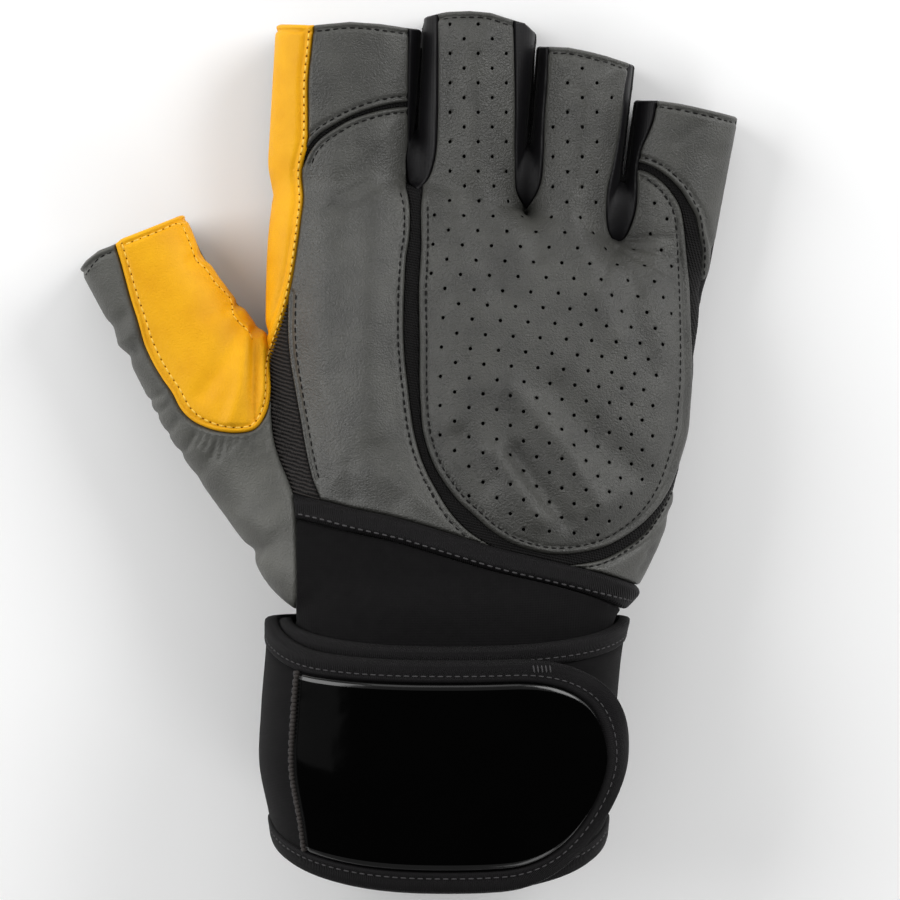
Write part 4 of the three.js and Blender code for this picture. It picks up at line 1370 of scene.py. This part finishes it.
def strap_point(angle, y, grow):
    """A place on the wrap, grown outwards from its bed on the cuff."""
    key = round(y, 2)
    if key not in wrist_cache:
        wrist_cache[key] = palm_section(key)
    section = wrist_cache[key]
    c = math.cos(math.radians(angle))
    s = math.sin(math.radians(angle))
    wide = math.copysign(abs(c) ** (2 / roundness), c)
    high = math.copysign(abs(s) ** (2 / roundness), s)
    out = strap_bed + lap_pitch * float(smooth_step(-angle, -lap_turn, -second_lap)) + grow
    x = section["x"] + wide * (section["breadth"] / 2 + out)
    z = (section["top"] + section["floor"]) / 2 + high * ((section["top"] - section["floor"]) / 2 + out)
    z += end_lift * float(smooth_step(-angle, -end_lift_from, -strap_end))
    return np.array([x, y, max(z, max(tape_wall - grow, 0.0))])


degrees_per_mm = 180 / (math.pi * (wrist_breadth / 2 + strap_bed + lap_pitch))
round_start = strap_end + strap_end_reach * degrees_per_mm


def rim_pairs(inset, turns):
    """The wrap's upper and lower rim: angle, upper y and lower y, from its start to its round end."""
    pairs = []
    for angle in np.arange(strap_start, round_start, -lap_step):
        pairs.append((angle, strap_top(angle) - inset, strap_bottom(angle) + inset))
    for i in range(turns + 1):
        turn = math.pi / 2 * i / turns
        angle = round_start - (round_start - strap_end - inset * end_degrees) * math.sin(turn)
        middle = (strap_top(angle) + strap_bottom(angle)) / 2
        power = end_power + (end_power_inside - end_power) * inset / tape_width
        power += (1 - power) * (i / turns) ** 2
        half = ((strap_top(angle) - strap_bottom(angle)) / 2 - inset) * math.cos(turn) ** power
        pairs.append((angle, middle + half, middle - half))
    return pairs


def wrap_mesh(name, rings, flat, material, nodes):
    faces = tube_faces(len(rings), len(rings[0]))[:, [0, 3, 2, 1]]
    points = np.array(rings).reshape(-1, 3)
    return dressed(new_mesh(name, points, faces, np.array(flat)), material, nodes)


def wrap_sheet(name, start, inset, low, high, material, nodes, rows=26, ripple=0.0):
    """A sheet that follows the wrap from an angle to the round end, between two heights."""
    rings = []
    flat = []
    sides = [(row, high, -1) for row in range(rows + 1)] + [(row, low, 1) for row in range(rows, -1, -1)]
    for angle, top, bottom in rim_pairs(inset, 24):
        if angle > start:
            continue
        ring = []
        for row, level, turned in sides:
            share = row / rows
            y = bottom + (top - bottom) * share
            edge = min(share, 1 - share) * abs(top - bottom)
            grow = level + turned * sheet_round * (1 - min(edge, 1.0)) ** 2
            if turned < 0:
                wave = math.sin(angle * 0.11 + 1.3 * math.sin(y * 0.12))
                grow += ripple * wave * min(edge / 6.0, 1.0)
            ring.append(strap_point(angle, y, grow))
            flat.append((-angle / degrees_per_mm, y))
        rings.append(ring)
    return wrap_mesh(name, rings, flat, material, nodes)


def strap_tape():
    """Ribbed tape folded over the wrap's rim: across its width, its height is rounded."""
    outer = rim_pairs(0.0, 30)
    inner = rim_pairs(tape_width, 30)
    run = [(a[0], a[1], b[0], b[1]) for a, b in zip(outer, inner)]
    run += [(a[0], a[2], b[0], b[2]) for a, b in zip(outer, inner)][::-1][1:]
    across = [(share, tape_wall * height) for share, height in tape_profile]
    across += [(share, tape_under if share < 0.05 else 0.0) for share, _ in tape_profile[::-1]]
    rings = []
    flat = []
    length = 0.0
    before = None
    for angle, y, inner_angle, inner_y in run:
        here = strap_point(angle, y, tape_wall)
        length += 0.0 if before is None else float(np.linalg.norm(here - before))
        before = here
        ring = []
        for share, grow in across:
            place = (angle + (inner_angle - angle) * share, y + (inner_y - y) * share)
            ring.append(strap_point(*place, grow))
            flat.append((length, share * tape_width))
        rings.append(ring)
    return wrap_mesh("strap_tape", rings, flat, tape, ["strap_binding"])


def strap_threads():
    """The row of stitches along the tape's inner third."""
    pairs = rim_pairs(tape_width * stitch_place, 40)
    line = [(a, top) for a, top, _ in pairs] + [(a, low) for a, _, low in pairs[::-1]]
    places = np.array([strap_point(a, y, tape_wall * 0.95) for a, y in line])
    outward = np.array([strap_point(a, y, tape_wall + 1.0) for a, y in line]) - places
    thread_mesh("strap_stitches", *spaced(places, outward, stitch_share), strap_thread_radius, grey_thread,
                "ribbed_tape", ["strap_binding"])


def wrap_run(angle):
    """A line across the wrap at an angle, as places on it and directions out of it."""
    heights = np.linspace(strap_bottom(angle) + tape_width, strap_top(angle) - tape_width, 60)
    places = np.array([strap_point(angle, y, strap_wall) for y in heights])
    return places, np.array([strap_point(angle, y, strap_wall + 1.0) for y in heights]) - places


def wrap_seam():
    """The corded seam in front of the patch, with a row of stitches on either side."""
    cord = spaced(*wrap_run(patch_start + cord_place), 1.3, pitch=cord_pitch)
    thread_mesh("seam_cord", *cord, cord_radius, elastic, "neoprene", ["wrist_strap"])
    rows = [spaced(*wrap_run(patch_start + side), 0.65) for side in seam_sides]
    rows = [np.vstack([row[k] for row in rows]) for k in range(3)]
    thread_mesh("seam_stitches", *rows, seam_thread_radius, grey_thread, "neoprene", ["wrist_strap"])


def bar_tack(ground):
    """A short block of light threads between the laps."""
    lines = []
    for i in range(tack_count):
        x = tack_from + i * tack_pitch
        lines.append(np.array([(x, tack_high), (x + tack_lean, tack_low)]))
    stitch_rows("bar_tack", ground, lines, grey_thread, "neoprene", ["wrist_strap"], share=0.95)


def gloss_patch():
    """The glossy patch. Its rounded rim catches the light more than its middle."""
    patch = wrap_sheet("gloss_patch", patch_start, tape_width + patch_gap, strap_wall - patch_sunk,
                       strap_wall + patch_wall, gloss_black, ["strap_patch"],
                       rows=patch_rows, ripple=patch_ripple)
    patch.data.materials.append(gloss_rim)
    around = np.arange(len(patch.data.polygons)) % (2 * (patch_rows + 1))
    near_rim = (around < rim_rows) | ((around > patch_rows - rim_rows - 1) & (around <= patch_rows + 1))
    patch.data.polygons.foreach_set("material_index", near_rim.astype(np.int32))


# Build the glove

def sew_panels(panels):
    """The rows of stitches on each panel, and small dark marks between the yellow ones: painted shade in the
    needle holes.
    """
    for name, piece in panels.items():
        thread, slot = (yellow_thread, "yellow_leather") if name == "yellow" else (black_thread, "black_knit")
        stitch_rows(f"{name}_stitches", Ground([piece]), sewing[name], thread, slot, piece["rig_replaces"])
    # Painted shade: small dark marks in the needle holes between the yellow stitches.
    stitch_rows("yellow_needle_hole_shade", Ground([panels["yellow"]]), sewing["yellow"], needle_hole_painted_shade,
                "yellow_leather", ["yellow_patch"], share=needle_share, radius=needle_radius,
                sink=needle_depth, shift=0.5)


def build_glove():
    back_of_hand()
    gussets()
    panels = {"index": index_panel(), "thenar": thenar_panel(), "pad": palm_pad()}
    knit_strip()
    panels.update({"little": little_panel(), "heel": heel_panel(), "yellow": yellow_panel()})
    panels["thumb"] = thumb_panel()
    webbing()
    binding = cuff_tape()
    cuff()
    sew_panels(panels)
    stitch_rows("cuff_stitches", Ground([binding]), sewing["tape"], grey_thread, "ribbed_tape",
                ["cuff_binding"])
    perforated(panels["pad"])
    wrap = wrap_sheet("wrist_wrap", strap_start, tape_width - under_tape, 0.0, strap_wall, neoprene,
                      ["wrist_strap"])
    rim = strap_tape()
    strap_threads()
    wrap_seam()
    bar_tack(Ground([wrap, rim]))
    gloss_patch()


# Floor, light and camera

def studio():
    bpy.ops.mesh.primitive_plane_add(size=4.0, location=(0, 0, 0))
    floor = bpy.context.object
    floor.name = "floor"
    surface = Surface("floor", 0.9, 0.1)
    surface.shader.inputs["Base Color"].default_value = (0.98, 0.98, 0.98, 1.0)
    floor.data.materials.append(surface.material)
    world = bpy.data.worlds.new("world")
    world.use_nodes = True
    world.node_tree.nodes["Background"].inputs["Color"].default_value = (1.0, 1.0, 1.0, 1.0)
    world.node_tree.nodes["Background"].inputs["Strength"].default_value = 0.26
    bpy.context.scene.world = world
    bpy.context.scene.view_settings.view_transform = "Standard"
    lamp("right", (1.0, 0.65, 0.58), 13.5, 0.9)
    lamp("left", (-1.0, 0.35, 0.6), 13.0, 1.0)
    lamp("back", (0.0, 1.2, 0.8), 3.5, 1.0)
    lamp("front", (0.8, -1.0, 0.6), 3.5, 0.7)


def lamp(name, place, power, size):
    light = bpy.data.lights.new(name, "AREA")
    light.energy = power
    light.size = size
    made = bpy.data.objects.new(name, light)
    made.location = place
    made.rotation_mode = "QUATERNION"
    made.rotation_quaternion = (-Vector(place)).to_track_quat("-Z", "Y")
    bpy.context.scene.collection.objects.link(made)


def camera():
    data = bpy.data.cameras.new("camera")
    data.sensor_width = 36.0
    half = view_width / 2 / (camera_height - view_level)
    data.lens = 18.0 / half
    made = bpy.data.objects.new("camera", data)
    made.location = ((camera_x - origin_x) * millimetre, (camera_y - origin_y) * millimetre,
                     camera_height * millimetre)
    bpy.context.scene.collection.objects.link(made)
    bpy.context.scene.camera = made


build_glove()
studio()
camera()
